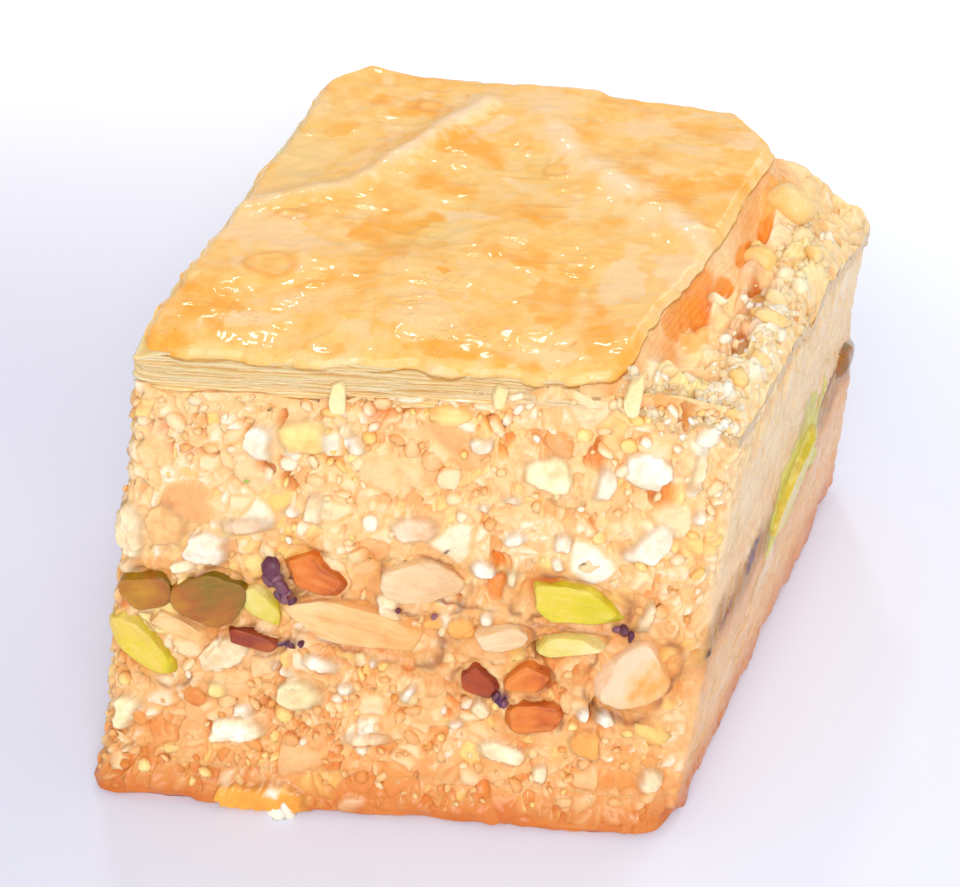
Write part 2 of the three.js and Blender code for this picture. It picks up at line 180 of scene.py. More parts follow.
# %% Mesh helpers
def ring_faces(counts):
    """Faces between rings that lie one after another: quads, or triangles where a ring is one point."""
    starts = np.concatenate([[0], np.cumsum(counts)])
    bands = []
    for ring in range(len(counts) - 1):
        low, high = counts[ring], counts[ring + 1]
        here = np.arange(max(low, high))
        after = (here + 1) % len(here)
        a, b = starts[ring] + here % low, starts[ring] + after % low
        d, c = starts[ring + 1] + here % high, starts[ring + 1] + after % high
        none = np.full(len(here), -1)
        band = [a, c, d, none] if low == 1 else [a, b, c, none] if high == 1 else [a, b, c, d]
        bands.append(np.stack(band, -1))
    return np.concatenate(bands)


def volume(points, faces):
    """The signed volume: the sum over triangles of a point's dot product with the other two's cross."""
    a, b, c = points[faces[:, 0]], points[faces[:, 1]], points[faces[:, 2]]
    total = np.einsum("ij,ij->", a, np.cross(b, c))
    quads = faces[:, 3] >= 0
    d = points[faces[quads, 3]]
    return (total + np.einsum("ij,ij->", a[quads], np.cross(c[quads], d))) / 6


def make_piece(name, points, faces, finish, slot, marks=None, stands_for=()):
    """Puts points in millimetres and faces of three or four corners into a mesh that faces outwards."""
    if volume(points, faces) < 0:
        turned = faces[:, [0, 3, 2, 1]]
        faces = np.where(faces[:, 3:] >= 0, turned, faces[:, [0, 2, 1, 3]])
    corners = faces[faces >= 0]
    starts = np.concatenate([[0], np.cumsum((faces >= 0).sum(1))[:-1]])
    mesh = bpy.data.meshes.new(name)
    mesh.vertices.add(len(points))
    mesh.vertices.foreach_set("co", (points * MM).astype(np.float32).ravel())
    mesh.loops.add(len(corners))
    mesh.loops.foreach_set("vertex_index", corners.astype(np.int32))
    mesh.polygons.add(len(faces))
    mesh.polygons.foreach_set("loop_start", starts.astype(np.int32))
    mesh.update(calc_edges=True)
    mesh.shade_smooth()
    for mark, values in (marks or {}).items():
        kind, field = ("FLOAT", "value") if values.ndim == 1 else ("FLOAT_VECTOR", "vector")
        mesh.attributes.new(mark, kind, "POINT").data.foreach_set(field, values.astype(np.float32).ravel())
    mesh.materials.append(finish.material)
    piece = bpy.data.objects.new(name, mesh)
    bpy.context.scene.collection.objects.link(piece)
    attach(piece, "root")
    if stands_for:
        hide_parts(*stands_for)
    triangles = len(corners) - 2 * len(faces)
    print("%s: %d triangles" % (name, triangles))
    return piece


# %% [markdown]
# ## A way to write finishes
# Materials could be wired by hand in the Shader Editor. In a script it reads better as arithmetic:
# a small class wraps one socket, so that 1 - mask adds the Math node for it. Colours are mixed by
# Mix nodes, since Math nodes would turn them grey.

# %% A signal
class Signal:
    """The output of one node. Arithmetic on it adds Math nodes."""

    def __init__(self, finish, socket):
        self.finish, self.socket = finish, socket

    def math(self, operation, first, second):
        """A Math node fed by two signals or numbers."""
        return self.finish.node("ShaderNodeMath", {"operation": operation}, {0: first, 1: second})

    def __add__(self, other):
        return self.math("ADD", self, other)

    def __sub__(self, other):
        return self.math("SUBTRACT", self, other)

    def __rsub__(self, other):
        return self.math("SUBTRACT", other, self)

    def __mul__(self, other):
        return self.math("MULTIPLY", self, other)

    __radd__ = __add__
    __rmul__ = __mul__


# %% Colours
def colour(red, green, blue):
    """A colour read off a screen, from 0 to 255, as the light that the renderer works with."""
    light = [c / 255 / 12.92 if c < 11 else ((c / 255 + 0.055) / 1.055) ** 2.4 for c in (red, green, blue)]
    return (*light, 1.0)


def shade_of(screen):
    """The same light as an array of three, for arithmetic on whole meshes."""
    return np.array(colour(*screen)[:3])


print("a warm cream is", shade_of((250, 228, 190)).round(3))


# %% A finish
class Finish:
    """One material: a Principled shader, and the nodes that feed it."""

    def __init__(self, name, **constants):
        self.material = bpy.data.materials.new(name)
        self.material.use_nodes = True
        self.tree = self.material.node_tree
        self.shader = self.tree.nodes["Principled BSDF"]
        for socket, value in constants.items():
            self.shader.inputs[socket.replace("_", " ")].default_value = value

    def node(self, kind, settings=None, inputs=None, output=0):
        """Adds a node of any type: its settings first, then the values or links of its sockets."""
        made = self.tree.nodes.new(kind)
        for setting, value in (settings or {}).items():
            if setting == "stops":
                stops = made.color_ramp.elements
                while len(stops) < len(value):
                    stops.new(1.0)
                for stop, (position, shade) in zip(stops, value):
                    stop.position, stop.color = position, shade
            else:
                setattr(made, setting, value)
        for socket, value in (inputs or {}).items():
            self.feed(made.inputs[socket], value)
        return Signal(self, made.outputs[output])

    def feed(self, socket, value):
        """Links a signal to a socket, or writes a constant into it."""
        if isinstance(value, Signal):
            self.tree.links.new(value.socket, socket)
        else:
            socket.default_value = value

    def mark(self, name, output=2):
        """A mark of the mesh: output 2 is a number, 1 a direction and 0 a colour."""
        return self.node("ShaderNodeAttribute", {"attribute_name": name}, output=output)

    def speckle(self, size, detail=2.0, stretch=(1, 1, 1), vector=None, shift=0.0):
        """Noise whose patches are about size millimetres across, and longer by stretch."""
        where = vector or self.node("ShaderNodeTexCoord", output=3)
        unit = 1.0 if vector else 1 / MM
        scale = tuple(unit / (size * along) for along in stretch)
        inputs = {"Vector": where, "Scale": scale, "Location": (shift,) * 3}
        mapped = self.node("ShaderNodeMapping", {}, inputs)
        return self.node("ShaderNodeTexNoise", {}, {"Vector": mapped, "Scale": 1.0, "Detail": detail})

    def step(self, value, low, high):
        """0 below low and 1 above high, with a smooth rise between."""
        return self.node(
            "ShaderNodeMapRange", {"interpolation_type": "SMOOTHSTEP"},
            {"Value": value, "From Min": low, "From Max": high},
        )

    def ramp(self, value, stops):
        """A colour for each value, between stops that each pair a position with a colour."""
        return self.node("ShaderNodeValToRGB", {"stops": stops}, {"Fac": value})

    def blend(self, factor, first, second, mode="MIX"):
        """The first colour where the factor is 0, going over to the second, or multiplied by it."""
        settings = {"data_type": "RGBA", "blend_type": mode}
        return self.node("ShaderNodeMix", settings, {0: factor, 6: first, 7: second}, output=2)

    def surface(self, base, roughness=None, height=None, depth=0.1, coat=None):
        """Feeds the shader: colour, roughness, coat, and a bump of so many millimetres."""
        self.feed(self.shader.inputs["Base Color"], base)
        if roughness is not None:
            self.feed(self.shader.inputs["Roughness"], roughness)
        if coat is not None:
            self.feed(self.shader.inputs["Coat Weight"], coat)
        if height is not None:
            inputs = {"Height": height, "Distance": depth * MM, "Strength": 1.0}
            self.feed(self.shader.inputs["Normal"], self.node("ShaderNodeBump", {}, inputs))
        return self


# %% Light that soaks in
def soft(depth, weight=0.25):
    """The settings of food that light soaks into: red goes deepest, and blue least."""
    return {
        "Subsurface_Weight": weight,
        "Subsurface_Radius": (1.0, 0.62, 0.3),
        "Subsurface_Scale": depth * MM,
        "Specular_IOR_Level": 0.2,
    }


print("light soaks in by red, green and blue:", soft(1.0)["Subsurface_Radius"])

# %% [markdown]
# ## Camera, table and light
# The picture looks down on one corner from near the front, through a long lens. The table is a
# white sheet whose colour carries painted shade on the left, painted light towards the back and a
# painted glow, and the light is a bright soft studio: a large box above the front, a window behind on
# the right, two small boxes whose glints show in the syrup, and white walls all round.

# %% The camera
PICTURE_WIDTH, FOCAL_PIXELS, SENSOR = 960, 2945.0, 36.0
PITCH, YAW, DISTANCE = np.radians(37.8), np.radians(7.5), 223.0
AIM = np.array([-1.0, -0.95, 19.0])
ahead = np.array([-np.sin(YAW) * np.cos(PITCH), np.cos(YAW) * np.cos(PITCH), -np.sin(PITCH)])
aside = np.array([np.cos(YAW), np.sin(YAW), 0.0])
upward = np.cross(aside, ahead)
camera = bpy.data.objects.new("camera", bpy.data.cameras.new("camera"))
camera.data.sensor_width = SENSOR
camera.data.lens = FOCAL_PIXELS * SENSOR / PICTURE_WIDTH
camera.data.clip_start = 0.01
turned = Matrix(np.stack([aside, upward, -ahead], -1).tolist()).to_4x4()
camera.matrix_world = Matrix.Translation(Vector((AIM - DISTANCE * ahead) * MM)) @ turned
bpy.context.scene.collection.objects.link(camera)
bpy.context.scene.camera = camera
print("camera at", [round(c / MM, 1) for c in camera.location])


# %% The table
table_finish = Finish("white_table", Roughness=0.55, Specular_IOR_Level=0.3)
spot = table_finish.node("ShaderNodeTexCoord", output=3)
x, y = (table_finish.node("ShaderNodeSeparateXYZ", {}, {0: spot}, output=k) for k in (0, 1))
# Painted shade and light: the table is greyer on the left, lighter to the right, and whitened towards the
# back, where the studio light falls on it.
painted_light_side = table_finish.step(x - y * 0.3, -0.09, 0.03)
painted_shade_paper = table_finish.blend(painted_light_side, colour(213, 207, 215), colour(224, 224, 232))
far = table_finish.step(y, 0.02, 0.13)
table_finish.surface(table_finish.blend(far, painted_shade_paper, colour(250, 251, 255)))
# Painted glow: the table gives off light of its own, bluish near the piece to lift the shadows and warm white
# towards the back.
painted_glow = table_finish.blend(far, (0.08, 0.11, 0.16, 1), (0.32, 0.32, 0.26, 1))
table_finish.feed(table_finish.shader.inputs["Emission Color"], painted_glow)
table_finish.shader.inputs["Emission Strength"].default_value = 1.0
table_mesh = bpy.data.meshes.new("table")
table_mesh.from_pydata([(-3, -3, 0), (3, -3, 0), (3, 3, 0), (-3, 3, 0)], [], [(0, 1, 2, 3)])
table_mesh.materials.append(table_finish.material)
table = bpy.data.objects.new("table", table_mesh)
bpy.context.scene.collection.objects.link(table)
print("table:", [round(side, 1) for side in table.dimensions], "m")


# %% The lights
def softbox(name, spot, size, watts, tint=(1, 1, 1)):
    """A square light at a spot in metres that faces the middle of the piece."""
    light = bpy.data.lights.new(name, "AREA")
    light.shape, light.size, light.energy, light.color = "SQUARE", size, watts, tint
    lamp = bpy.data.objects.new(name, light)
    lamp.location = spot
    lamp.rotation_euler = (Vector((0, 0, 0.02)) - Vector(spot)).to_track_quat("-Z", "Y").to_euler()
    bpy.context.scene.collection.objects.link(lamp)


softbox("front_key", (0.05, -0.49, 0.36), 0.4, 2.15)
softbox("window", (0.17, 0.24, 0.3), 0.17, 0.3, (1.0, 0.99, 0.985))
softbox("glint_behind", (-0.04, 0.2, 0.34), 0.03, 0.11)
softbox("glint_front", (0.1, -0.42, 0.32), 0.025, 0.18)
world = bpy.data.worlds.new("white_room")
world.use_nodes = True
world.node_tree.nodes["Background"].inputs["Color"].default_value = (0.94, 0.945, 1.0, 1.0)
world.node_tree.nodes["Background"].inputs["Strength"].default_value = 0.6
bpy.context.scene.world = world
bpy.context.scene.view_settings.view_transform = "Standard"
print("lights set")

# %% [markdown]
# ## The levels of the layers
# The layers press on each other, so each level is a soft wave. The filling also sinks towards the
# back right corner, where it has crumbled away. The same levels serve the solids.

# %% Where each layer ends
GAP = 0.3
SHELF_THICKNESS = 2.2


def wave(p, q, phase):
    """Half a millimetre of rise and fall: a sine across the block times a cosine along it."""
    return 0.45 * np.sin(2.1 * p + 1.3 * q + 0.7 * phase) * np.cos(1.7 * q - 0.9 * p)


def crust_top(p, q):
    """The crust's top: 3.6 mm, plus a wave."""
    return 3.6 + wave(p, q, 0)


def lower_top(p, q):
    """The lower bed's top: 10.8 mm, plus a wave."""
    return 10.8 + wave(p, q, 1)


def band_top(p, q):
    """The top of the band of large nuts: 21.5 mm, plus a wave."""
    return 21.5 + wave(p, q, 2)


def filling_top(p, q):
    """The filling's top: level, less a slope on the right and a product of two at the back right."""
    right = np.maximum(p - 0.5, 0) / 0.5
    back = np.maximum(q + 0.2, 0) / 1.2
    return FILLING_TOP - 0.8 * right - 2.6 * right * back


def shelf_top(p, q):
    """The lower flight of sheets follows the filling at its own thickness."""
    return filling_top(p, q) + SHELF_THICKNESS


print("filling top at the back right corner: %.1f mm" % filling_top(1.0, 1.0))

# %% [markdown]
# ## What the filling is made of
# The filling is ground and chopped nuts of five kinds: white cashew, cream peanut, pale yellow
# almond, tan soaked nut and toasted almond. White and cream lie high up, and the soaked and toasted
# ones near the bottom, where the syrup gathered. They come in clusters, as they fell from the spoon.
# One table of shares by height serves the paste and the loose grains alike.

# %% Kinds of nut in the filling
GRAINS = {
    "white_crumbs": ("upper_filling", (253, 228, 186), (255, 245, 222)),
    "cream_grains": ("upper_filling", (248, 204, 146), (253, 224, 176)),
    "yellow_grains": ("middle_filling", (250, 206, 118), (253, 224, 148)),
    "tan_grains": ("lower_filling", (238, 172, 108), (247, 196, 136)),
    "toasted_grains": ("lower_filling", (226, 132, 58), (242, 164, 88)),
}
HEIGHTS = np.array([0.0, 5.0, 11.0, 16.0, 22.0, 33.0])
SHARES = np.array([
    [0.02, 0.06, 0.16, 0.12, 0.18, 0.24],
    [0.06, 0.20, 0.34, 0.34, 0.42, 0.44],
    [0.06, 0.12, 0.14, 0.12, 0.16, 0.20],
    [0.38, 0.42, 0.28, 0.30, 0.16, 0.08],
    [0.48, 0.20, 0.08, 0.06, 0.015, 0.0],
])
SYRUP = (238, 142, 50)


def pick_kinds(spots, numbers):
    """The kind of the nut at each spot: the shares at its height, swayed by a drift for each kind."""
    odds = np.stack([
        np.interp(spots[:, 2], HEIGHTS, shares) * np.exp(2.0 * drift(spots, 3.4, 60 + kind))
        for kind, shares in enumerate(SHARES)
    ])
    return (numbers > np.cumsum(odds, 0) / odds.sum(0)).sum(0)


PALETTE = np.array([[shade_of(low), shade_of(high)] for _, low, high in GRAINS.values()])
print("kinds of grain:", list(GRAINS))

# %% [markdown]
# ## Where the large nuts lie
# Twenty-five whole and broken kernels show at the cuts. Each is given by its spot on a cut, its
# height, its size and its tilt in degrees, and both the kernels and the paste round them read this
# table. Each kind has two numbers of its own: how much it narrows to one end, and the power that
# squares it.

# %% Where the large nuts lie
KINDS = {
    "almond": (0.42, 0.5), "peanut": (0.15, 0.8), "cashew": (0.1, 0.72), "pistachio": (0.3, 0.85),
    "cut_pistachio": (0.3, 0.66), "olive_kernel": (0.2, 0.72), "amber_kernel": (0.28, 0.7),
    "dark_skin": (0.3, 0.7),
}
NUTS = {
    "front": [
        ("almond_sliver", "almond", -7.1, 16.0, (11.6, 4.2, 4.4), -13),
        ("peanut_half", "peanut", 12.6, 13.6, (7.4, 6.0, 5.0), 55),
        ("pistachio_bright", "pistachio", 8.1, 19.0, (8.8, 4.2, 5.0), -7),
        ("pistachio_low", "pistachio", -22.9, 12.9, (7.0, 3.6, 4.6), -50),
        ("olive_wide", "olive_kernel", -18.0, 17.3, (6.2, 5.2, 4.6), 24),
        ("olive_edge", "olive_kernel", -22.6, 17.9, (4.4, 3.6, 4.2), 4),
        ("pistachio_tip", "cut_pistachio", -14.3, 17.3, (4.4, 3.0, 3.6), 118),
        ("amber_wide", "amber_kernel", -10.6, 20.1, (5.4, 3.8, 3.8), -24),
        ("almond_slice", "almond", -20.0, 14.9, (5.4, 1.9, 3.6), -26),
        ("skin_chip", "amber_kernel", -14.9, 14.3, (4.4, 1.8, 3.0), -14),
        ("cashew_slab", "cashew", -2.8, 19.9, (6.6, 4.4, 4.4), -10),
        ("almond_wedge", "cashew", 2.7, 15.9, (5.4, 2.4, 3.6), 10),
        ("pistachio_pale", "cut_pistachio", 8.0, 15.8, (5.6, 2.0, 3.8), 6),
        ("amber_chip", "amber_kernel", 5.0, 12.7, (4.0, 2.8, 3.4), 42),
        ("skin_dark", "dark_skin", 1.3, 12.2, (3.8, 2.8, 3.4), -35),
        ("olive_low", "olive_kernel", 5.6, 9.6, (4.6, 2.9, 3.6), 5),
    ],
    "right": [
        ("pistachio_side", "pistachio", 2.6, 15.8, (13.0, 3.8, 5.0), 11),
        ("olive_side", "olive_kernel", 16.0, 17.2, (5.8, 3.2, 4.0), -5),
        ("almond_side", "almond", -10.0, 13.0, (6.8, 3.4, 4.2), 10),
    ],
    "back": [
        ("pistachio_back", "pistachio", 12.4, 17.4, (9.6, 4.2, 5.0), 8),
        ("almond_back", "almond", 0.8, 15.4, (10.8, 4.4, 4.4), -9),
        ("cashew_back", "cashew", -9.4, 17.6, (6.2, 4.6, 4.4), 20),
    ],
    "left": [
        ("pistachio_left", "pistachio", 9.8, 17.4, (10.2, 4.2, 5.0), -6),
        ("amber_left", "amber_kernel", -0.9, 15.6, (6.0, 4.6, 4.6), 14),
        ("almond_left", "almond", -10.4, 17.2, (8.0, 3.4, 4.0), 9),
    ],
}
# A cut's first and last corner, and the axis along which spots on it are told: 0 for x, 1 for y.
FACES = {"front": (0, 1, 0), "right": (1, 2, 1), "back": (2, 3, 0), "left": (3, 0, 1)}


def on_face(face, at, z):
    """The frame of a spot on a cut: its middle, and the directions along the cut, up, and out."""
    start, end, axis = FACES[face]
    corners = BASE_CORNERS + (TOP_CORNERS - BASE_CORNERS) * min(z / FILLING_TOP, 1)
    share = (at - corners[start][axis]) / (corners[end] - corners[start])[axis]
    middle = np.append(lerp(corners[start], corners[end], share), z)
    along = np.append(corners[end] - corners[start], 0.0)
    along /= np.linalg.norm(along)
    up = np.array([0.0, 0.0, 1.0])
    return middle, along, up, np.cross(along, up)


print("large nuts:", sum(len(nuts) for nuts in NUTS.values()))


# %% [markdown]
# ## The beds of ground nuts
# Each bed is a paste of ground nuts and syrup with bits of every size, shaved by the knife. A bump in
# the shader would leave the outline smooth, and millions of grains would be too heavy. So each bed is
# a closed core whose wall is relief, finer than rice. Coarse lumps either stay whole or break into
# finer ones, as chopped nuts do. Each bit gets its own depth and its own shade, and syrup shows
# deep orange in the chinks.

# %% The finish of the beds
HONEY = (244, 196, 138)


def syruped(finish, shade, cloud):
    """A shade multiplied by honey in clouds, with syrup laid over it where the mark chink says."""
    warm = finish.blend(finish.step(cloud, 0.4, 0.75) * 0.35, shade, colour(*HONEY), "MULTIPLY")
    return finish.blend(finish.mark("chink"), warm, colour(*SYRUP))


def paste_finish(name):
    """Bits in the shade that their mark gives, a little clouded, with syrup where the chinks are."""
    finish = Finish(name, Coat_Weight=0.3, Coat_Roughness=0.16, Roughness=0.4, **soft(0.8, 0.26))
    shade = finish.mark("shade", output=0)
    cloud = finish.speckle(0.9, 4.0)
    wet = syruped(finish, shade, cloud)
    return finish.surface(wet, height=finish.speckle(0.3, 3.0) + cloud * 0.8, depth=0.1)


lower_finish, middle_finish, upper_finish = (
    paste_finish(name) for name in ("soaked_nut_paste", "nut_paste", "pale_nut_paste"))
print("nodes in a bed's finish:", len(lower_finish.tree.nodes))

# %% [markdown]
# Single bits catch the eye, so they lie where they should and aren't left to chance. Each row gives
# the bit's spot along the cut and its height, its own width and height, its lean in degrees and its
# shade. Hollows are told the same way. The right cut is seen at a flat angle and was smeared by the
# knife, so it has a few long smears, and below them bands of shade by height.

# %% Shades of the named bits
# Each shade has its colour, how far the bit stands out in millimetres, and how rough it is.
SHADES = {
    "white": ((254, 238, 214), 0.16, 1.5), "cream": ((252, 226, 184), 0.12, 1.5),
    "yellow": ((253, 212, 132), 0.08, 0.5), "pale": ((254, 234, 184), 0.12, 1),
    "peach": ((250, 194, 130), 0.05, 1.5), "beige": ((240, 206, 168), 0.08, 1),
    "pink": ((248, 208, 170), 0.08, 0.5), "toasted": ((249, 172, 88), 0.08, 1),
    "gold": ((246, 166, 62), 0.16, 1.5), "purple": ((92, 50, 88), 0.3, 6),
    "garnet": ((112, 18, 20), 0.4, 2), "soot": ((66, 48, 38), 0.05, 0),
    "green": ((150, 196, 62), 0.1, 0), "bark": ((168, 104, 62), -0.12, 3),
    "lime": ((216, 206, 84), 0.1, 1), "mauve": ((130, 96, 96), 0.0, 3),
}
print("shades:", list(SHADES))

# %% Smears of the right cut
SMEARS = (
    (2.6, 15.8, 15.4, 7.0, 11, "lime"), (-7.4, 16.2, 5.0, 1.6, 8, "mauve"),
    (-13.5, 15.4, 4.0, 0.9, 4, "bark"), (11.5, 17.2, 8.0, 1.1, 6, "bark"),
    (-17.5, 15.0, 1.2, 0.9, 0, "soot"), (-4.0, 11.5, 7.0, 2.6, 6, "beige"),
)
SMEAR_HEIGHTS = (0.0, 3.0, 5.0, 9.0, 13.0, 15.2, 16.6, 18.2, 24.0, 33.0)
SMEAR_SHADES = (
    (222, 130, 62), (236, 162, 94), (243, 186, 126), (247, 200, 144), (236, 176, 120), (172, 118, 64),
    (196, 148, 92), (248, 208, 158), (253, 220, 170), (254, 224, 172),
)
print("smears:", len(SMEARS), "bands of shade:", len(SMEAR_SHADES))

# %% Bits and hollows of the front cut
BITS = (
    (-14.5, 30.5, 2.3, 2.8, -8, "white"), (-11.3, 30.9, 3.9, 2.8, 4, "yellow"),
    (-8.3, 31.7, 1.3, 1.4, 0, "cream"), (-7.5, 30.4, 1.5, 1.1, -18, "white"),
    (-21.2, 23.3, 2.8, 4.1, 5, "peach"), (-24.0, 22.5, 2.2, 5.1, 0, "cream"),
    (-15.4, 23.7, 4.5, 1.8, 8, "beige"), (-18.3, 21.8, 3.3, 2.6, -10, "white"),
    (-12.2, 25.1, 1.3, 1.0, -35, "white"), (-10.6, 25.5, 2.8, 1.6, 80, "cream"),
    (-24.2, 19.6, 1.5, 1.6, 0, "cream"), (-20.2, 20.1, 2.2, 1.3, 10, "cream"),
    (1.2, 31.2, 1.9, 1.7, 0, "white"), (5.6, 29.4, 3.4, 2.9, 0, "pale"),
    (10.0, 28.9, 3.1, 1.6, 75, "white"), (12.9, 29.8, 3.3, 2.9, 0, "white"),
    (13.5, 24.4, 4.1, 2.4, 55, "white"), (7.1, 24.0, 1.7, 1.9, 0, "white"),
    (6.8, 22.3, 1.8, 1.2, -70, "white"), (1.7, 21.5, 2.0, 1.6, -15, "white"),
    (3.6, 21.0, 1.9, 1.1, 85, "cream"), (16.4, 30.4, 3.8, 1.2, 80, "cream"),
    (16.6, 26.7, 1.6, 1.2, 80, "white"), (7.2, 27.2, 2.6, 1.0, -3, "peach"),
    (1.5, 26.4, 1.3, 1.0, -10, "white"), (3.4, 27.1, 1.9, 0.9, -8, "white"),
    (3.6, 24.0, 2.0, 1.1, 25, "white"), (-3.5, 24.4, 4.0, 2.0, 10, "pink"),
    (-17.4, 13.1, 4.5, 2.5, 25, "cream"), (-13.0, 12.1, 2.3, 1.3, -25, "white"),
    (-10.0, 12.8, 3.0, 1.5, -14, "white"), (-6.3, 13.2, 1.3, 0.7, 90, "white"),
    (-11.8, 10.1, 4.3, 2.7, 0, "pale"), (-8.3, 10.9, 1.9, 1.2, 0, "white"),
    (-24.8, 7.6, 3.5, 1.9, 70, "pale"), (-24.7, 4.3, 1.3, 0.9, 10, "cream"),
    (-16.0, 8.5, 1.8, 1.2, 0, "white"), (-17.8, 10.0, 2.0, 1.7, 0, "yellow"),
    (-2.0, 16.9, 2.1, 1.5, 20, "toasted"), (0.1, 16.7, 2.4, 1.9, 10, "toasted"),
    (1.8, 17.5, 1.2, 1.3, 0, "white"), (9.1, 10.2, 1.6, 1.1, 80, "white"),
    (10.8, 9.9, 1.7, 1.6, -40, "white"), (-3.6, 11.1, 2.1, 1.0, 60, "white"),
    (-0.1, 8.7, 1.7, 1.0, 20, "white"), (1.7, 10.0, 2.0, 1.4, -40, "cream"),
    (3.4, 6.4, 4.2, 2.0, -12, "cream"), (9.3, 7.7, 2.7, 2.8, 0, "toasted"),
    (13.5, 18.7, 3.2, 1.1, 70, "cream"), (-5.3, 17.6, 2.2, 4.1, 0, "cream"),
    (-1.6, 20.5, 1.1, 2.8, 0, "white"), (-16.5, 6.7, 4.1, 2.2, 10, "cream"),
    (-16.7, 6.7, 3.0, 1.3, 0, "white"), (-6.7, 6.7, 3.7, 1.3, 0, "cream"),
    (6.1, 4.9, 1.5, 2.2, 0, "cream"), (14.3, 5.0, 1.8, 2.6, 0, "cream"),
    (-14.2, 0.7, 7.6, 3.3, 0, "gold"), (-13.4, 1.9, 1.2, 0.8, 0, "white"),
    (-13.5, 20.3, 1.9, 1.1, -62, "purple"), (-12.8, 18.6, 1.5, 0.9, -50, "purple"),
    (-12.2, 19.9, 0.6, 0.7, 0, "garnet"), (-12.0, 18.6, 0.9, 0.6, 20, "garnet"),
    (-12.6, 14.5, 2.6, 0.8, 16, "purple"), (11.6, 17.4, 1.2, 0.8, 15, "garnet"),
    (10.4, 17.9, 0.7, 0.3, -30, "soot"), (-1.1, 22.8, 0.7, 0.22, 42, "soot"),
    (-15.2, 27.4, 0.45, 0.4, 0, "green"), (-13.7, 32.9, 0.3, 0.3, 0, "soot"),
    (3.0, 11.2, 1.3, 1.4, 70, "purple"), (-0.4, 18.4, 6.4, 0.5, -4, "bark"),
    (-19.0, 19.3, 2.6, 0.6, -12, "bark"), (-4.0, 17.6, 3.2, 0.4, -16, "bark"),
    (5.6, 17.9, 2.2, 0.4, 20, "bark"),
)
HOLLOWS = (
    (-4.4, 33.6, 5.2, 1.3, 8), (15.4, 34.0, 2.5, 0.9, 70), (9.4, 30.6, 1.7, 1.4, 60),
    (7.0, 31.4, 1.5, 0.8, 0), (1.9, 32.8, 1.2, 1.1, 30), (13.9, 28.1, 1.6, 1.3, 30),
    (-13.0, 32.4, 0.8, 0.5, 80), (-18.7, 29.2, 1.6, 0.4, 0), (-14.2, 28.5, 1.1, 0.7, -30),
    (-12.6, 27.2, 1.2, 0.5, -60), (6.1, 14.9, 1.5, 1.1, 60), (9.8, 10.2, 2.1, 0.5, 80),
    (-0.2, 18.9, 0.7, 0.5, 60), (2.5, 20.1, 1.3, 0.8, 60), (-13.3, 11.9, 2.2, 0.7, 80),
    (-14.0, 8.4, 1.9, 0.8, -50),
)
print("named bits:", len(BITS), "hollows:", len(HOLLOWS))

# %% Packed bits
# Each size in millimetres has the limit above which a lump's number keeps it whole.
MOSAIC = ((2.7, 0.88), (1.75, 0.60), (1.08, 0.36), (0.64, 0.0))
FAR_OFF, BIT_DEPTH, NUT_DEPTH = 9.0, 2.5, 4
GOLDEN = 0.618


def mosaic(points, seed):
    """Packed bits of four sizes. A lump stays whole if its number is above the size's limit, and
    breaks into the next size if not. Gives the way to the nearest edge, and each bit's number and middle."""
    edge = np.full(len(points), FAR_OFF)
    number, middle = np.zeros(len(points)), points.copy()
    broken = np.ones(len(points), bool)
    for step, (size, limit) in enumerate(MOSAIC):
        near, own, spot = lumps(points, size, seed + 10 * step)
        edge = np.where(broken, np.minimum(edge, near + 0.04 * step), edge)
        number = np.where(broken, own, number)
        middle = np.where(broken[:, None], spot, middle)
        broken = broken & (own < limit)
    return edge, (number * 7.31) % 1, middle


print("packed bits of", [size for size, _ in MOSAIC], "mm")


# %% How near a point is to a large nut or a named bit
def off_nuts(points):
    """How far out of the nearest large nut a point is: 1 on the nut's squared ellipse on its cut."""
    least = np.full(len(points), FAR_OFF)
    for face, nuts in NUTS.items():
        for _, _, at, z, size, tilt in nuts:
            off, behind = off_oval(points, face, at, z, size[0], size[1], tilt)
            least = np.where(behind < NUT_DEPTH, np.minimum(least, off), least)
    return least


def off_oval(points, face, at, z, width, height, tilt, taper=0.0):
    """How far out a point is: the cube root of the sum of cubes of its shares of a leaning oval."""
    middle, along, up, out = on_face(face, at, z)
    lean = np.radians(tilt)
    away = points - middle
    x = away @ (np.cos(lean) * along + np.sin(lean) * up) / (width / 2)
    y = away @ (np.cos(lean) * up - np.sin(lean) * along) / (height / 2)
    y = y / (1 - taper * np.clip(x, -1, 1))
    return (np.abs(x) ** 3 + np.abs(y) ** 3) ** (1 / 3), np.abs(away @ out)


print("the middle of the almond sliver is %.1f out" % off_nuts(on_face("front", -7.1, 16.0)[0][None])[0])


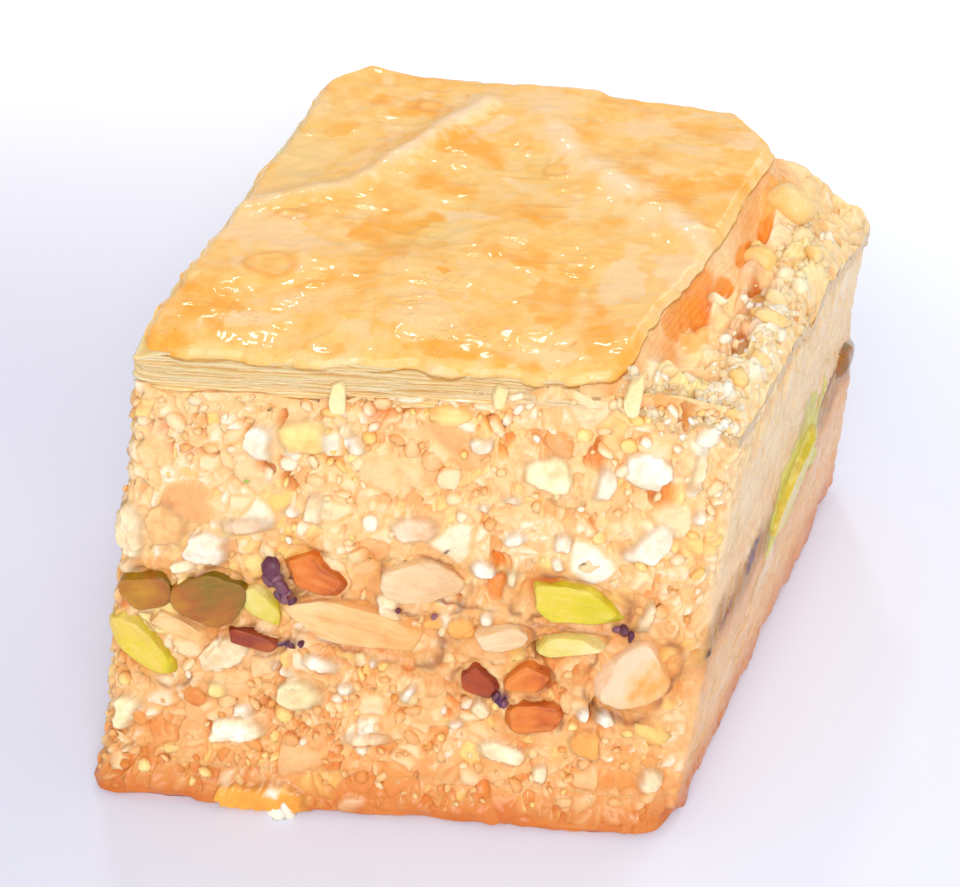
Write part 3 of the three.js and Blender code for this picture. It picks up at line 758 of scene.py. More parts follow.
# %% What the named bits do
def named_bits(points):
    """What the named bits of the front and the smears of the right cut do: how much of each point they
    cover, their shade, how far they stand out, how rough they are, where a named hollow is, and how
    near the next bit lies, so that no other hollow cuts into it. Every edge wanders."""
    covered, rise, rough, hollow, guard = (np.zeros(len(points)) for _ in range(5))
    shade = np.zeros((len(points), 3))
    front = points[:, 1] < -21.2 + 6.2 * points[:, 2] / FILLING_TOP
    right = (points[:, 0] > 11.5 + 0.24 * (points[:, 1] + 22)) & ~front
    for face, table, near in (("front", BITS, front), ("right", SMEARS, right)):
        near = np.flatnonzero(near)
        spots = points[near]
        wander = 1 + 0.26 * drift(spots, 1.3, 81) + 0.12 * drift(spots, 0.6, 82)
        blur = 0.3 * ease(-0.3, 0.6, drift(spots, 1.8, 83))
        mottle = 1 + 0.12 * drift(spots, 1.3, 84) + 0.07 * drift(spots, 0.5, 85)
        for number, (at, z, width, height, lean, kind) in enumerate(table):
            taper = 0.35 * (number * GOLDEN % 1 * 2 - 1)
            off, behind = off_oval(spots, face, at, z, width, height, lean, taper)
            off = np.where(behind < BIT_DEPTH, off * wander, FAR_OFF)
            half = min(width, height) / 2
            share = 1 - ease(-min(0.34, 0.8 * half) - blur * half, 0.05, (off - 1) * half)
            screen, proud, texture = SHADES[kind]
            own = shade_of(screen) * mottle[:, None] ** [1.0, 1.5, 2.4]
            covered[near] = np.maximum(covered[near], share)
            shade[near] = lerp(shade[near], own, share[:, None])
            rise[near] = lerp(rise[near], proud * (1.15 - 0.4 * np.minimum(off, 1) ** 3), share)
            rough[near] = lerp(rough[near], texture, share)
            guard[near] = np.maximum(guard[near], 1 - ease(1.0, 1.4, off))
        for at, z, width, height, lean in HOLLOWS if face == "front" else ():
            off, _ = off_oval(spots, face, at, z, width, height, lean)
            hollow[near] = np.maximum(hollow[near], 1 - ease(0.75, 1.2, off * (2 * wander - 1)))
    return covered, shade, rise, rough, hollow, guard


print("a white bit covers %.1f of its middle" % named_bits(on_face("front", 12.9, 29.8)[0][None])[0][0])

# %% The relief of a cut
# A dark brown painted along each large nut's rim: partly its skin, partly painted shade in the crevice round
# it.
NUT_SKIN_AND_SHADE = (146, 84, 46)
SOAKED_AWAY, STAINED_AWAY, BETWEEN_BITS = [0.2, 0.46, 0.7], [0.14, 0.30, 0.48], [0.98, 0.88, 0.7]


def paste_shade(points, smooth, edge, number, middle):
    """Each bit in the shade of its kind, darker at its edge, then smeared by height where the knife
    went smoothly, and soaked near the bottom: light is multiplied by one minus what syrup takes."""
    kinds = pick_kinds(middle, number)
    tone = (number * 13.7 % 1)[:, None]
    shade = PALETTE[kinds, 0] * (1 - tone) + PALETTE[kinds, 1] * tone
    odds = np.stack([np.interp(points[:, 2], HEIGHTS, shares) for shares in SHARES], -1)
    mean = odds @ PALETTE.mean(1) / odds.sum(1, keepdims=True)
    shade = lerp(mean * BETWEEN_BITS, shade, (0.1 + 0.9 * ease(0.0, 0.3, edge))[:, None])
    level = points[:, 2] + 0.9 * drift(points * [1, 0.6, 0.6], 1.8, 52) + 0.5 * drift(points, 0.7, 53)
    smears = np.array([shade_of(smear) for smear in SMEAR_SHADES])
    smear = np.stack([np.interp(level, SMEAR_HEIGHTS, smears[:, k]) for k in range(3)], -1)
    shade = lerp(shade, smear, 0.85 * smooth[:, None])
    soaked = 1 - ease(0.4, 5.2, points[:, 2] + 1.2 * drift(points, 2.4, 55))
    return shade * (1 - soaked[:, None] * SOAKED_AWAY)


def relief(points, smooth):
    """How far the bits lie behind the cut: each domed and set back by its own number, with chinks
    between some and hollows where a drift is high. smooth calms it where the knife smeared, and there
    the shade goes by height. The paste opens, and is stained brown, where a large nut shows, and along
    the nut's rim a dark brown line is painted for its skin and for the shade in the crevice. Gives
    depth, syrup, shade and how much a named bit covers."""
    smooth = smooth * (1 - 0.6 * ease(26, 31, points[:, 2] + 1.5 * drift(points, 3.0, 56)))
    warp = [0.5 * drift(points, 2.9, seed) + 0.24 * drift(points, 1.1, seed + 3) for seed in (41, 42, 43)]
    edge, number, middle = mosaic(points + np.stack(warp, -1), 11)
    off = off_nuts(points) * (1 + 0.1 * drift(points, 1.2, 49) + 0.05 * drift(points, 0.5, 50))
    hug = 1 - ease(1.02, 1.3, off)
    back = 0.3 * ease(0.62, 1.0, number) * (1 - 0.8 * hug)
    ruffled = ease(-0.2, 0.5, drift(points, 2.4, 48))
    rounding = lerp(0.1, 0.26, ruffled) * (1 - ease(0, 0.34, edge)) ** 1.4 + 0.2 * (1 - ease(0, 0.8, edge))
    missing = drift(middle, 2.4, 44) + 0.35 * drift(middle, 1.0, 45) > 0.56
    covered, named, rise, rough, pit, guard = named_bits(points)
    hollow = missing * ease(0.0, 0.3, edge) * (1 - hug) * (1 - guard)
    hollow = np.maximum(hollow, pit)
    fine = (0.06 * drift(points, 0.5, 46) + 0.04 * drift(points, 0.28, 47)) * (1 + rough)
    depth = (back + rounding) * lerp(1.0, 0.3, smooth) * (1 - covered) + fine * (1 - 0.5 * smooth)
    depth += (hollow * 0.9 + 0.3 * (1 - ease(0.84, 0.97, off))) * (1 - smooth) - rise * (1 - pit)
    depth -= 0.75 * smooth * ease(21, 12, points[:, 2])
    chink = (1 - ease(0.0, 0.2, edge)) * lerp(0.1, 0.6, ruffled * ease(0.1, 0.3, back + 0.15)) * (1 - covered)
    chink = np.maximum(chink, 0.8 * hollow) * (1 - 0.8 * smooth)
    shade = paste_shade(points, smooth, edge, number, middle)
    stain = ease(1.75, 1.0, off) * ease(-0.6, 0.4, drift(points, 2.2, 51)) * (1 - smooth)
    # Painted shade: a dark brown line along each large nut's rim stands for its skin and for the shade in the
    # crevice, and takes the syrup's place there.
    skin_and_shade_rim = np.exp(-(((off - 0.98) / 0.07) ** 2)) * ease(-0.4, 0.4, drift(points, 1.3, 54)) * (1 - smooth)
    shade = shade * (1 - stain[:, None] * STAINED_AWAY)
    shade = lerp(shade, shade_of(NUT_SKIN_AND_SHADE), 0.75 * skin_and_shade_rim[:, None])
    shade = lerp(shade, named, covered[:, None])
    return depth, np.clip(chink, 0, 1) * (1 - skin_and_shade_rim), shade, covered


spot = on_face("front", 0.0, 25.0)[0][None]
print("relief at a spot of the front: %.2f mm" % relief(spot, np.zeros(1))[0][0])

# %% The cores of the beds
SIDE_COLUMNS = (470, 300, 200, 170)
COLUMNS = sum(SIDE_COLUMNS)
column_turns = np.concatenate([
    (side + np.arange(count) / count) / 4 for side, count in enumerate(SIDE_COLUMNS)
])
CAP_REACHES = (0.985, 0.95, 0.9, 0.84, 0.78, 0.7, 0.6, 0.4)
CORE_BEHIND, OVERLAP = 0.06, 0.05


def smeared(p, q):
    """1 on the right cut, which the knife smeared smooth, and 0 on the others."""
    return ease(0.93, 0.99, p) * (1 - ease(0.9, 0.99, np.abs(q)))


def close_wall(points, floor, roof, chink, shade):
    """A wall's rings with a middle point below and above, its faces, and its marks for those too."""
    middle = [place(0, 0, level).reshape(1, 3) for level in (floor, roof)]
    marks = {"chink": np.pad(chink, 1), "shade": np.pad(shade, ((1, 1), (0, 0)), mode="edge")}
    faces = ring_faces([1] + [COLUMNS] * (len(points) // COLUMNS) + [1])
    return np.concatenate([middle[0], points, middle[1]]), faces, marks


def make_bed(name, floor, roof, rows, finish, slot):
    """Rings from the middle of the underside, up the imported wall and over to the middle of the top."""
    rim_p, rim_q = rim(column_turns)
    steps = [(reach, 0.0) for reach in (0.5, 0.9)]
    steps += [(1.0, height) for height in (0.0, *np.linspace(0.001, 0.999, rows - 2), 1.0)]
    steps += [(reach, 1.0) for reach in CAP_REACHES]
    reach, height = (np.array(column)[:, None] for column in zip(*steps))
    flat = lerp(floor(rim_p * reach, rim_q * reach), roof(rim_p * reach, rim_q * reach), height)
    wall = place(rim_p * reach, rim_q * reach, flat)
    smooth = np.broadcast_to(smeared(rim_p, rim_q), flat.shape).ravel()
    depth, chink, shade, _ = relief(wall.reshape(-1, 3), smooth)
    depth = depth.reshape(flat.shape)
    behind = np.where(reach == 1.0, CORE_BEHIND + depth, 0.6) / HALF_SIDE
    level = flat - np.where((reach < 1.0) & (height == 1.0), depth * 0.8, 0.0)
    points = place(rim_p * (reach - behind), rim_q * (reach - behind), level).reshape(-1, 3)
    points, faces, marks = close_wall(points, floor(0.0, 0.0), roof(0.0, 0.0), chink, shade)
    return make_piece(name, points, faces, finish, slot, marks, (slot,))


def climbing_top(p, q):
    """The pale bed's top, which the knife dragged up over the edge of the lower sheets at the front."""
    spots = place(p, q, FILLING_TOP)
    ragged = drift(spots.reshape(-1, 3), 3.0, 77).reshape(spots.shape[:-1])
    return filling_top(p, q) + (1.3 + 2.0 * ease(-0.3, 0.5, p) + 0.9 * ragged) * ease(-0.9, -0.985, q)


def below(level):
    """The beds meet without a gap: each starts a little below the top of the last."""
    return lambda p, q: level(p, q) - OVERLAP


make_bed("soaked_bed", below(crust_top), lower_top, 48, lower_finish, "lower_filling")
make_bed("nut_bed", below(lower_top), band_top, 72, middle_finish, "middle_filling")
make_bed("pale_bed", below(band_top), climbing_top, 76, upper_finish, "upper_filling")

# %% [markdown]
# ## The large nuts
# Whole and broken kernels show where the knife went through them. Each could be sculpted, but all
# share one rule: a long round body, squared up where it broke, narrowing to one end, and cut flat by
# the knife. The kernel's own coordinates go along as a mark, so that fibres run along each nut
# whichever way it lies.

# %% The finishes of the large nuts
def kernel_finish(name, stops, fibre, rind, glaze=0.3, weight=0.35, roughness=0.36, patches=1.3):
    """Flesh that changes along the kernel, fibres that run with it, and a rind where it is uncut."""
    finish = Finish(name, Coat_Weight=0.15 + 0.5 * glaze, Coat_Roughness=0.08, **soft(1.3, weight))
    grain, cut = finish.mark("grain", output=1), finish.mark("cut")
    length = finish.mark("length")
    fibres = finish.speckle(0.5, 3.0, (7, 1, 1), grain)
    cloud = finish.speckle(patches, 3.0, (1.6, 1, 1), grain)
    stops = [(position, colour(*shade)) for position, shade in stops]
    flesh = finish.ramp(length * 0.45 + cloud * 0.9 - 0.2, stops)
    flesh = finish.blend(finish.step(fibres, 0.42, 0.72) * 0.5, flesh, colour(*fibre))
    edge = (1 - cut) * finish.step(finish.speckle(1.1, 2.0, (1, 1, 1), grain), 0.25, 0.6)
    base = finish.blend(edge * 0.5, flesh, colour(*rind))
    height = fibres * 0.6 + finish.speckle(0.35, 3.0, (1, 1, 1), grain) * 0.9
    return finish.surface(base, cloud * 0.2 + (roughness - 0.1), height, 0.13)


FLESHES = {
    "almond": (
        "almond_flesh", ((0.2, (251, 206, 146)), (0.55, (246, 188, 120)), (0.85, (234, 156, 82))),
        (228, 156, 88), (240, 180, 108), dict()),
    "peanut": (
        "peanut_flesh", ((0.25, (250, 168, 84)), (0.45, (248, 198, 144)), (0.65, (246, 210, 174))),
        (244, 204, 160), (240, 186, 130), dict(roughness=0.3)),
    "cashew": (
        "cashew_flesh", ((0.2, (243, 212, 168)), (0.6, (236, 196, 148)), (0.85, (228, 174, 122))),
        (226, 180, 130), (232, 186, 130), dict()),
    "pistachio": (
        "pistachio_flesh", ((0.2, (236, 200, 92)), (0.5, (222, 200, 36)), (0.85, (204, 190, 36))),
        (238, 214, 110), (184, 160, 36), dict(glaze=0.6, weight=0.25, roughness=0.26)),
    "cut_pistachio": (
        "pale_pistachio_flesh", ((0.2, (212, 192, 46)), (0.5, (236, 212, 120)), (0.8, (246, 222, 166))),
        (228, 206, 120), (206, 176, 84), dict(glaze=0.4)),
    "olive_kernel": (
        "olive_flesh", ((0.2, (196, 138, 20)), (0.5, (172, 94, 26)), (0.85, (126, 108, 4))),
        (174, 120, 22), (118, 96, 8), dict(glaze=1.0, weight=0.2, roughness=0.12, patches=1.7)),
    "amber_kernel": (
        "amber_flesh", ((0.2, (236, 146, 52)), (0.5, (222, 116, 38)), (0.85, (172, 72, 24))),
        (236, 152, 76), (166, 74, 28), dict(glaze=0.6, weight=0.25, roughness=0.22)),
    "dark_skin": (
        "dark_skin_finish", ((0.2, (180, 74, 22)), (0.5, (152, 56, 26)), (0.85, (192, 100, 44))),
        (142, 66, 56), (112, 36, 28), dict(glaze=0.5, weight=0.15, roughness=0.24)),
}
finishes = {
    kind: kernel_finish(name, stops, fibre, rind, **options)
    for kind, (name, stops, fibre, rind, options) in FLESHES.items()
}
print("finishes of nuts:", list(finishes))

# %% Make the large nuts
NUT_ROWS, NUT_COLUMNS = 56, 64
DARKER = {"skin_chip": "dark_skin", "olive_low": "amber_kernel"}


def kernel(face, kind, at, z, size, tilt, seed, sunk, proud):
    """A ball stretched to the nut's size: each unit coordinate to a power below 1, which squares it,
    a girth that shrinks towards the far end, nine flats where it broke, and a little drift. Then it
    is laid and cut. The mark length says where a point lies along it, moved on for a darker nut."""
    narrows, boxy = KINDS[kind]
    polar = np.linspace(0, np.pi, NUT_ROWS)[1:-1, None]
    around = np.arange(NUT_COLUMNS) / NUT_COLUMNS * 2 * np.pi
    unit = np.stack(np.broadcast_arrays(
        np.cos(polar), np.sin(polar) * np.cos(around), np.sin(polar) * np.sin(around)), -1).reshape(-1, 3)
    unit = np.concatenate([[[1.0, 0, 0]], unit, [[-1.0, 0, 0]]])
    square = np.sign(unit) * np.abs(unit) ** boxy
    girth = 1 - narrows * 0.5 * (1 + square[:, :1])
    local = np.concatenate([square[:, :1], square[:, 1:] * girth], -1)
    draw = np.random.default_rng(seed)
    flats = draw.normal(size=(3, 9)) * [[1], [1], [0.35]]
    share = local @ (flats / np.linalg.norm(flats, axis=0)) / draw.uniform(0.66, 1.0, 9)
    local = local * ((np.maximum(share, 0) ** 20).sum(1) + 1)[:, None] ** (-1 / 20) * np.array(size) / 2
    local *= 1 + 0.07 * drift(local, 1.9, seed)[:, None] + 0.03 * drift(local, 0.7, seed)[:, None]
    middle, along, up, out = on_face(face, at, z)
    lean = np.radians(tilt)
    axes = np.stack([np.cos(lean) * along + np.sin(lean) * up, np.cos(lean) * up - np.sin(lean) * along, out])
    points = middle - out * sunk * size[2] + local @ axes
    proud = proud + 0.07 * drift(points, 2.2, seed + 5) + 0.05 * drift(points, 0.6, seed + 6)
    points, cut = trim(points, proud)
    length = square[:, 0] * 0.5 + 0.5 + 0.9 * (seed * GOLDEN % 1 - 0.5)
    if kind == "peanut":
        length = 0.7 + 1.1 * square[:, 1]
    marks = {"grain": local + seed * 7.0, "cut": cut.astype(float), "length": length}
    return points, ring_faces([1] + [NUT_COLUMNS] * (NUT_ROWS - 2) + [1]), marks


seed = 100
for face, nuts in NUTS.items():
    for name, kind, at, z, size, tilt in nuts:
        seed += 1
        sunk, proud = (0.24, 1.0) if face == "right" else (0.3, 0.0)
        sunk = 0.1 if name == "pistachio_side" else sunk
        points, faces, marks = kernel(face, kind, at, z, size, tilt, seed, sunk, proud)
        make_piece(name + "_kernel", points, faces, finishes[DARKER.get(name, kind)], kind, marks, (name,))

# %% [markdown]
# ## The loose grains
# Chips and crumbs stand out of the paste, half sunk in it and shaved by the knife. A particle system
# could scatter them, but joined meshes stay true and light. A chip is a ball whose radius is limited
# by a handful of random planes, so it has soft flats like a broken nut. The largest are thrown
# first, a spot that is taken is skipped, and crumbly patches get more than smooth ones.

# %% The shape of a chip
def cube_ball(cuts):
    """The directions and faces of a cube's surface grid, so that every face is a quad."""
    line = np.linspace(-1, 1, cuts + 1)
    u, v = (grid.ravel() for grid in np.meshgrid(line, line, indexing="ij"))
    sides = []
    for axis in range(3):
        for sign in (-1, 1):
            side = np.full((len(u), 3), float(sign))
            side[:, (axis + 1) % 3], side[:, (axis + 2) % 3] = u, v * sign
            sides.append(side)
    corners = np.concatenate(sides)
    cell = (np.arange(cuts)[:, None] * (cuts + 1) + np.arange(cuts)).ravel()
    one = np.stack([cell, cell + cuts + 1, cell + cuts + 2, cell + 1], -1)
    faces = np.concatenate([one + side * len(u) for side in range(6)])
    unique, joined = np.unique(np.round(corners, 6), axis=0, return_inverse=True)
    eased = np.tan(unique * np.pi / 4)
    return eased / np.linalg.norm(eased, axis=1, keepdims=True), joined.ravel()[faces]


def chips(spots, radii, cuts, seed, flats=7, sharp=22):
    """Chips of nut at spots. In each direction the radius is a soft least of the planes' distances:
    the sum of their shares to a high power, to the power of minus one over it."""
    draw = np.random.default_rng(seed)
    ball, faces = cube_ball(cuts)
    planes = draw.normal(size=(len(spots), flats, 3))
    planes /= np.linalg.norm(planes, axis=2, keepdims=True)
    far = draw.uniform(0.55, 1.0, (len(spots), flats))
    share = np.maximum(np.einsum("vk,nfk->nvf", ball, planes), 0) / far[:, None]
    radius = ((share**sharp).sum(-1) + 0.86**sharp) ** (-1 / sharp)
    stretch = draw.uniform([0.9, 0.7, 0.55], [1.5, 1.1, 0.9], (len(spots), 3))
    turn, _ = np.linalg.qr(draw.normal(size=(len(spots), 3, 3)))
    shape = np.einsum("nvk,nkj->nvj", ball * radius[..., None] * stretch[:, None], turn)
    points = spots[:, None] + shape * radii[:, None, None]
    faces = faces + (np.arange(len(spots)) * len(ball))[:, None, None]
    return points.reshape(-1, 3), faces.reshape(-1, 4), len(ball)


print("faces of a small chip:", len(cube_ball(2)[1]), "of a large one:", len(cube_ball(3)[1]))

# %% Throw the grains onto the cuts
PERIMETER = 172.0
# The least and the most radius in millimetres, and how many are thrown.
GRAIN_SIZES = ((1.0, 1.5, 60), (0.7, 1.0, 500), (0.42, 0.7, 2200), (0.26, 0.42, 3200))
draw = np.random.default_rng(7)
FRONT_END = 0.25
CLEARANCE = 0.8


def roof_of_grains(turn):
    """Grains hide the edge of the lower sheets at the front, and stay lower on the other sides."""
    p, q = rim(turn)
    front = ease(0.0, 0.02, turn) * (1 - ease(FRONT_END - 0.01, FRONT_END + 0.02, turn))
    ragged = drift(place(p, q, FILLING_TOP), 3.0, 77)
    climb = lerp(1.3, 3.1, ease(-0.3, 0.5, p))
    return filling_top(p, q) + lerp(0.3, climb, front) + ragged * lerp(0.3, 0.8, front)


def throw(sizes):
    """Spots round the walls, the largest first. One is kept if it is clear of those kept before."""
    kept = np.zeros((0, 3))
    for least, most, tries in sizes:
        radius = np.sort(draw.uniform(least, most, tries))[::-1]
        turn = draw.uniform(0, 1, tries)
        z = 0.9 + draw.uniform(0, 1, tries) * (roof_of_grains(turn) - 1.3)
        crumbly = drift(place(*rim(turn), z), 4.0, 78) + 0.5 * drift(place(*rim(turn), z), 1.5, 79)
        wanted = draw.uniform(-0.6, 1.1, tries) < crumbly + 0.5 * (z > 32.5) + 0.4 * (z < 12.0)
        for spot in np.stack([turn * PERIMETER, z, radius], -1)[wanted]:
            across = (kept[:, 0] - spot[0] + PERIMETER / 2) % PERIMETER - PERIMETER / 2
            apart = np.hypot(across, kept[:, 1] - spot[1])
            if (apart > CLEARANCE * (kept[:, 2] + spot[2])).all():
                kept = np.concatenate([kept, spot[None]])
    return kept


thrown = throw(GRAIN_SIZES)
turn, z, radius = thrown[:, 0] / PERIMETER, thrown[:, 1], thrown[:, 2]
rim_p, rim_q = rim(turn)
sunk = radius * draw.uniform(0.55, 0.85, len(radius)) + 0.14 + 0.5 * smeared(rim_p, rim_q)
spots = place(rim_p * (1 - sunk / HALF_SIDE), rim_q * (1 - sunk / HALF_SIDE), z)
clear = (off_nuts(spots) > 1.0 + 0.12 * radius) & (named_bits(spots)[0] < 0.3)
turn, radius, spots = turn[clear], radius[clear], spots[clear]
print("grains on the cuts:", len(spots))


# %% Make the grains
def grain_finish(name, low, high):
    """A grain's own shade, clouded, and darker and wetter where it sinks into the paste."""
    settings = {"Roughness": 0.42, "Coat_Weight": 0.25, "Coat_Roughness": 0.16, **soft(1.0, 0.32)}
    finish = Finish(name + "_finish", **settings)
    cloud = finish.speckle(0.9, 3.0)
    tone = finish.mark("tone") * 0.75 + cloud * 0.5 - 0.12
    shade = finish.ramp(tone, [(0.15, colour(*low)), (0.8, colour(*high))])
    base = finish.blend(finish.mark("deep"), shade, colour(244, 170, 96))
    return finish.surface(base, height=finish.speckle(0.28, 3.0) + cloud * 0.6, depth=0.1)


WALL_PROUD = {"front": (-0.02, 0.16), "right": (-0.15, 0.0), "back": (-0.02, 0.16), "left": (-0.02, 0.16)}
kinds = pick_kinds(spots, draw.uniform(0, 1, len(spots)))
side = np.floor(turn * 4).astype(int) % 4
proud_low, proud_high = (np.array([WALL_PROUD[face][k] for face in FACES]) for k in (0, 1))
proud = draw.uniform(proud_low[side], proud_high[side])


def make_grains(name, spots, radius, proud, slot, shades, seed, darkening=0.0):
    """All grains of one kind in one mesh: chips of three finenesses, shaved flat by the knife."""
    proud = np.broadcast_to(proud, radius.shape)
    clouds, bands, marks = [], [], {"tone": [], "deep": []}
    start = 0
    for fine, cuts in ((radius >= 1.5, 5), ((radius >= 0.65) & (radius < 1.5), 3), (radius < 0.65, 2)):
        if not fine.any():
            continue
        points, faces, each = chips(spots[fine], radius[fine], cuts, seed + cuts)
        tone = np.repeat(scramble(np.floor(spots[fine] * 50), seed), each)
        shaved, _ = trim(points, np.repeat(proud[fine], each))
        p, q = locate(points)
        shaved[:, 2] = np.maximum(shaved[:, 2], 0.05)
        marks["deep"].append(darkening * ease(-0.05, 0.5, (1 - reach_of(p, q)) * HALF_SIDE))
        marks["tone"].append(tone)
        clouds.append(shaved)
        bands.append(faces + start)
        start += len(points)
    joined = {mark: np.concatenate(values) for mark, values in marks.items()}
    finish = grain_finish(name, *shades)
    make_piece(name, np.concatenate(clouds), np.concatenate(bands), finish, slot, joined)


for number, (name, (slot, *shades)) in enumerate(GRAINS.items()):
    chosen = kinds == number
    print(name, chosen.sum())
    make_grains(name, spots[chosen], radius[chosen], proud[chosen], slot, shades, 300 + 10 * number, 0.8)

# %% [markdown]
# ## The bottom crust
# The lowest sheets soaked up the syrup and baked together. Their edges show as fine lines round a
# wet, orange-brown wall. Stacking thirty sheets would hide all but their edges, so the wall is one
# skin whose rings go in and out by a drift that is long along the wall and short up it.

# %% The crust
CRUST_ROWS = 26
crust_finish = Finish("soaked_crust", Coat_Weight=0.4, Coat_Roughness=0.12, **soft(0.7, 0.2))
streak = crust_finish.speckle(0.5, 4.0, (9, 9, 1))
stain = crust_finish.speckle(4.0, 4.0)
crust_shade = crust_finish.ramp(
    streak * 0.6 + stain * 0.5 - 0.05,
    [(0.28, colour(184, 86, 24)), (0.5, colour(212, 116, 40)), (0.72, colour(232, 148, 68))])
bits = crust_finish.blend(crust_finish.mark("chink"), crust_finish.mark("shade", output=0), colour(*SYRUP))
crust_shade = crust_finish.blend(crust_finish.mark("sheets"), bits, crust_shade)
crust_finish.surface(crust_shade, stain * 0.25 + 0.24, streak + 0.5 * crust_finish.speckle(0.3), 0.12)

rim_p, rim_q = rim(column_turns)
steps = [(reach, 0.0) for reach in (0.5, 0.9, 0.98)]
steps += [(1.0, height) for height in np.linspace(0, 1, CRUST_ROWS)]
steps += [(0.9, 1.0), (0.5, 1.0)]
reach, height = (np.array(column)[:, None] for column in zip(*steps))
level = crust_top(rim_p * reach, rim_q * reach) * height
wall = place(rim_p * reach, rim_q * reach, level).reshape(-1, 3)
plain = np.maximum(smeared(rim_p, rim_q), 0.3 * (1 - ease(0.3, 0.95, height)))
depth, chink, shade, covered = relief(wall, np.broadcast_to(plain, level.shape).ravel())
lines = 0.2 * drift(wall / [2.6, 2.6, 0.3], 1.0, 5) + 0.22 * drift(wall, 3.0, 6) + 0.1 * drift(wall, 0.8, 8)
sheets = 1 - ease(0.2, 1.9, wall[:, 2] + 1.2 * drift(wall, 2.6, 7) + 0.5 * drift(wall, 0.9, 9))
sheets = sheets * (1 - covered)
flare = np.broadcast_to(0.2 * (1 - ease(0.2, 0.9, height)), level.shape).ravel()
rounding = 0.7 * (1 - ease(0, 0.8, wall[:, 2])) ** 2 - flare
inset = lerp(CORE_BEHIND + depth, 0.2 + lines, sheets) + rounding
inset = np.where(reach == 1.0, inset.reshape(level.shape), 0.5)
points = place(rim_p * (reach - inset / HALF_SIDE), rim_q * (reach - inset / HALF_SIDE), level).reshape(-1, 3)
points, faces, marks = close_wall(points, 0, crust_top(0.0, 0.0), chink, shade)
marks["sheets"] = np.pad(sheets, 1, mode="edge")
make_piece("soaked_bottom_crust", points, faces, crust_finish, "bottom_crust", marks, ("bottom_crust",))

# %% [markdown]
# ## The pastry sheets
# Thin sheets of pastry lie over the filling: the lower flight reaches the right side, and the upper
# flight ends short of it and has lost its back right corner. Only the edges show below the top
# sheet, so each sheet is a closed band round the rim, with a torn edge that rises and falls, and
# only the top sheet and the shelf on the right are whole skins.

# %% Plans and levels of the pastry
UPPER_LEFT, CHAMFER, BACK_LEFT = -0.97, 1.72, 1.8
# Each crease runs from one spot to another, and has a rise and a width.
CREASES = (
    ((-18.6, 1.2), (-11.0, 5.4), 0.45, 1.0), ((-11.0, 5.4), (-7.6, 10.0), 0.6, 1.0),
    ((-7.6, 10.0), (-2.8, 17.6), 0.6, 1.1), ((1.9, 15.8), (4.6, 11.0), 0.45, 1.6),
    ((4.6, 11.0), (13.6, 2.6), 0.5, 1.5), ((13.6, 2.6), (16.4, -1.2), 0.4, 1.3),
    ((-19.0, -7.5), (-6.0, -4.0), 0.25, 2.2),
)


def upper_right(q):
    """How far right the upper flight reaches: a little less near the front."""
    return 0.66 - 0.06 * ease(0.2, -0.7, q)


def upper_plan(p, q):
    """The upper flight's plan: drawn in on the right, with its back right corner cut off."""
    chamfer = np.where(p + q > CHAMFER, CHAMFER / np.maximum(p + q, 0.1), 1)
    chamfer = np.where(q - p > BACK_LEFT, BACK_LEFT / np.maximum(q - p, 0.1), chamfer)
    across = (p * chamfer + 1) / 2
    return lerp(UPPER_LEFT, upper_right(q), across), q * chamfer * (1.02 + 0.012 * q)


def lower_plan(p, q):
    """The lower flight's plan: p shrinks in step with p plus q towards the back right."""
    return p * np.where(p + q > 0, 1 - 0.14 * (p + q), 0.985), q


def folds(x, y):
    """How high the folds stand at a spot, and how much of their pale crest shows there."""
    height, crest = 0 * x, 0 * x
    for start, end, rise, width in CREASES:
        start, run = np.array(start), np.subtract(end, start)
        share = np.clip(((x - start[0]) * run[0] + (y - start[1]) * run[1]) / (run @ run), 0, 1)
        off = np.hypot(x - start[0] - share * run[0], y - start[1] - share * run[1])
        height = np.maximum(height, rise * np.exp(-((off / width) ** 2)))
        crest = np.maximum(crest, np.exp(-((off / (0.65 * width)) ** 2)) * (rise > 0.3))
    return height, crest


def pastry_top(p, q):
    """The top sheet: nearly level, drooping at the front and back right, with folds as ridges."""
    x, y, _ = np.moveaxis(place(p, q, TOP_LEVEL), -1, 0)
    height = 37.3 + 0.2 * np.sin(0.35 * x + 0.5) * np.cos(0.3 * y) + folds(x, y)[0] + 0.4 * ease(0.0, 1.0, q)
    return height - 1.2 * (np.maximum(-q - 0.6, 0) / 0.4) ** 2 - 0.9 * np.maximum(p + q - 1.0, 0)


print("highest fold: %.1f mm" % pastry_top(np.linspace(-1, 1, 90)[:, None], np.linspace(-1, 1, 90)).max())

# %% The finish of the sheets' edges
edge_finish = Finish("pastry_edges", Coat_Weight=0.7, Coat_Roughness=0.08, **soft(1.1, 0.4))
# This mark is each sheet's own bake tone plus painted shade: the crevices behind the sheets' tips are painted
# deeper orange.
bake = edge_finish.mark("bake")
streak = edge_finish.speckle(0.4, 3.0, (8, 8, 1))
edge_shade = edge_finish.ramp(
    bake * 0.7 + streak * 0.5 - 0.1,
    [(0.1, colour(255, 226, 170)), (0.45, colour(253, 208, 138)), (0.85, colour(246, 168, 84))])
edge_finish.surface(edge_shade, streak * 0.2 + 0.2, streak + edge_finish.speckle(0.35), 0.1)

print("nodes in the edges' finish:", len(edge_finish.tree.nodes))

# %% Make the sheets
SHEET_COLUMNS = 620
# Round the section of a sheet: how far out, and where between its underside and its top.
SHEET_SECTION = (
    (0.74, 0.0), (0.9, 0.0), (0.97, 0.0), (0.993, 0.0), (1.0, 0.5), (0.993, 1.0), (0.97, 1.0),
    (0.9, 1.0), (0.74, 1.0),
)


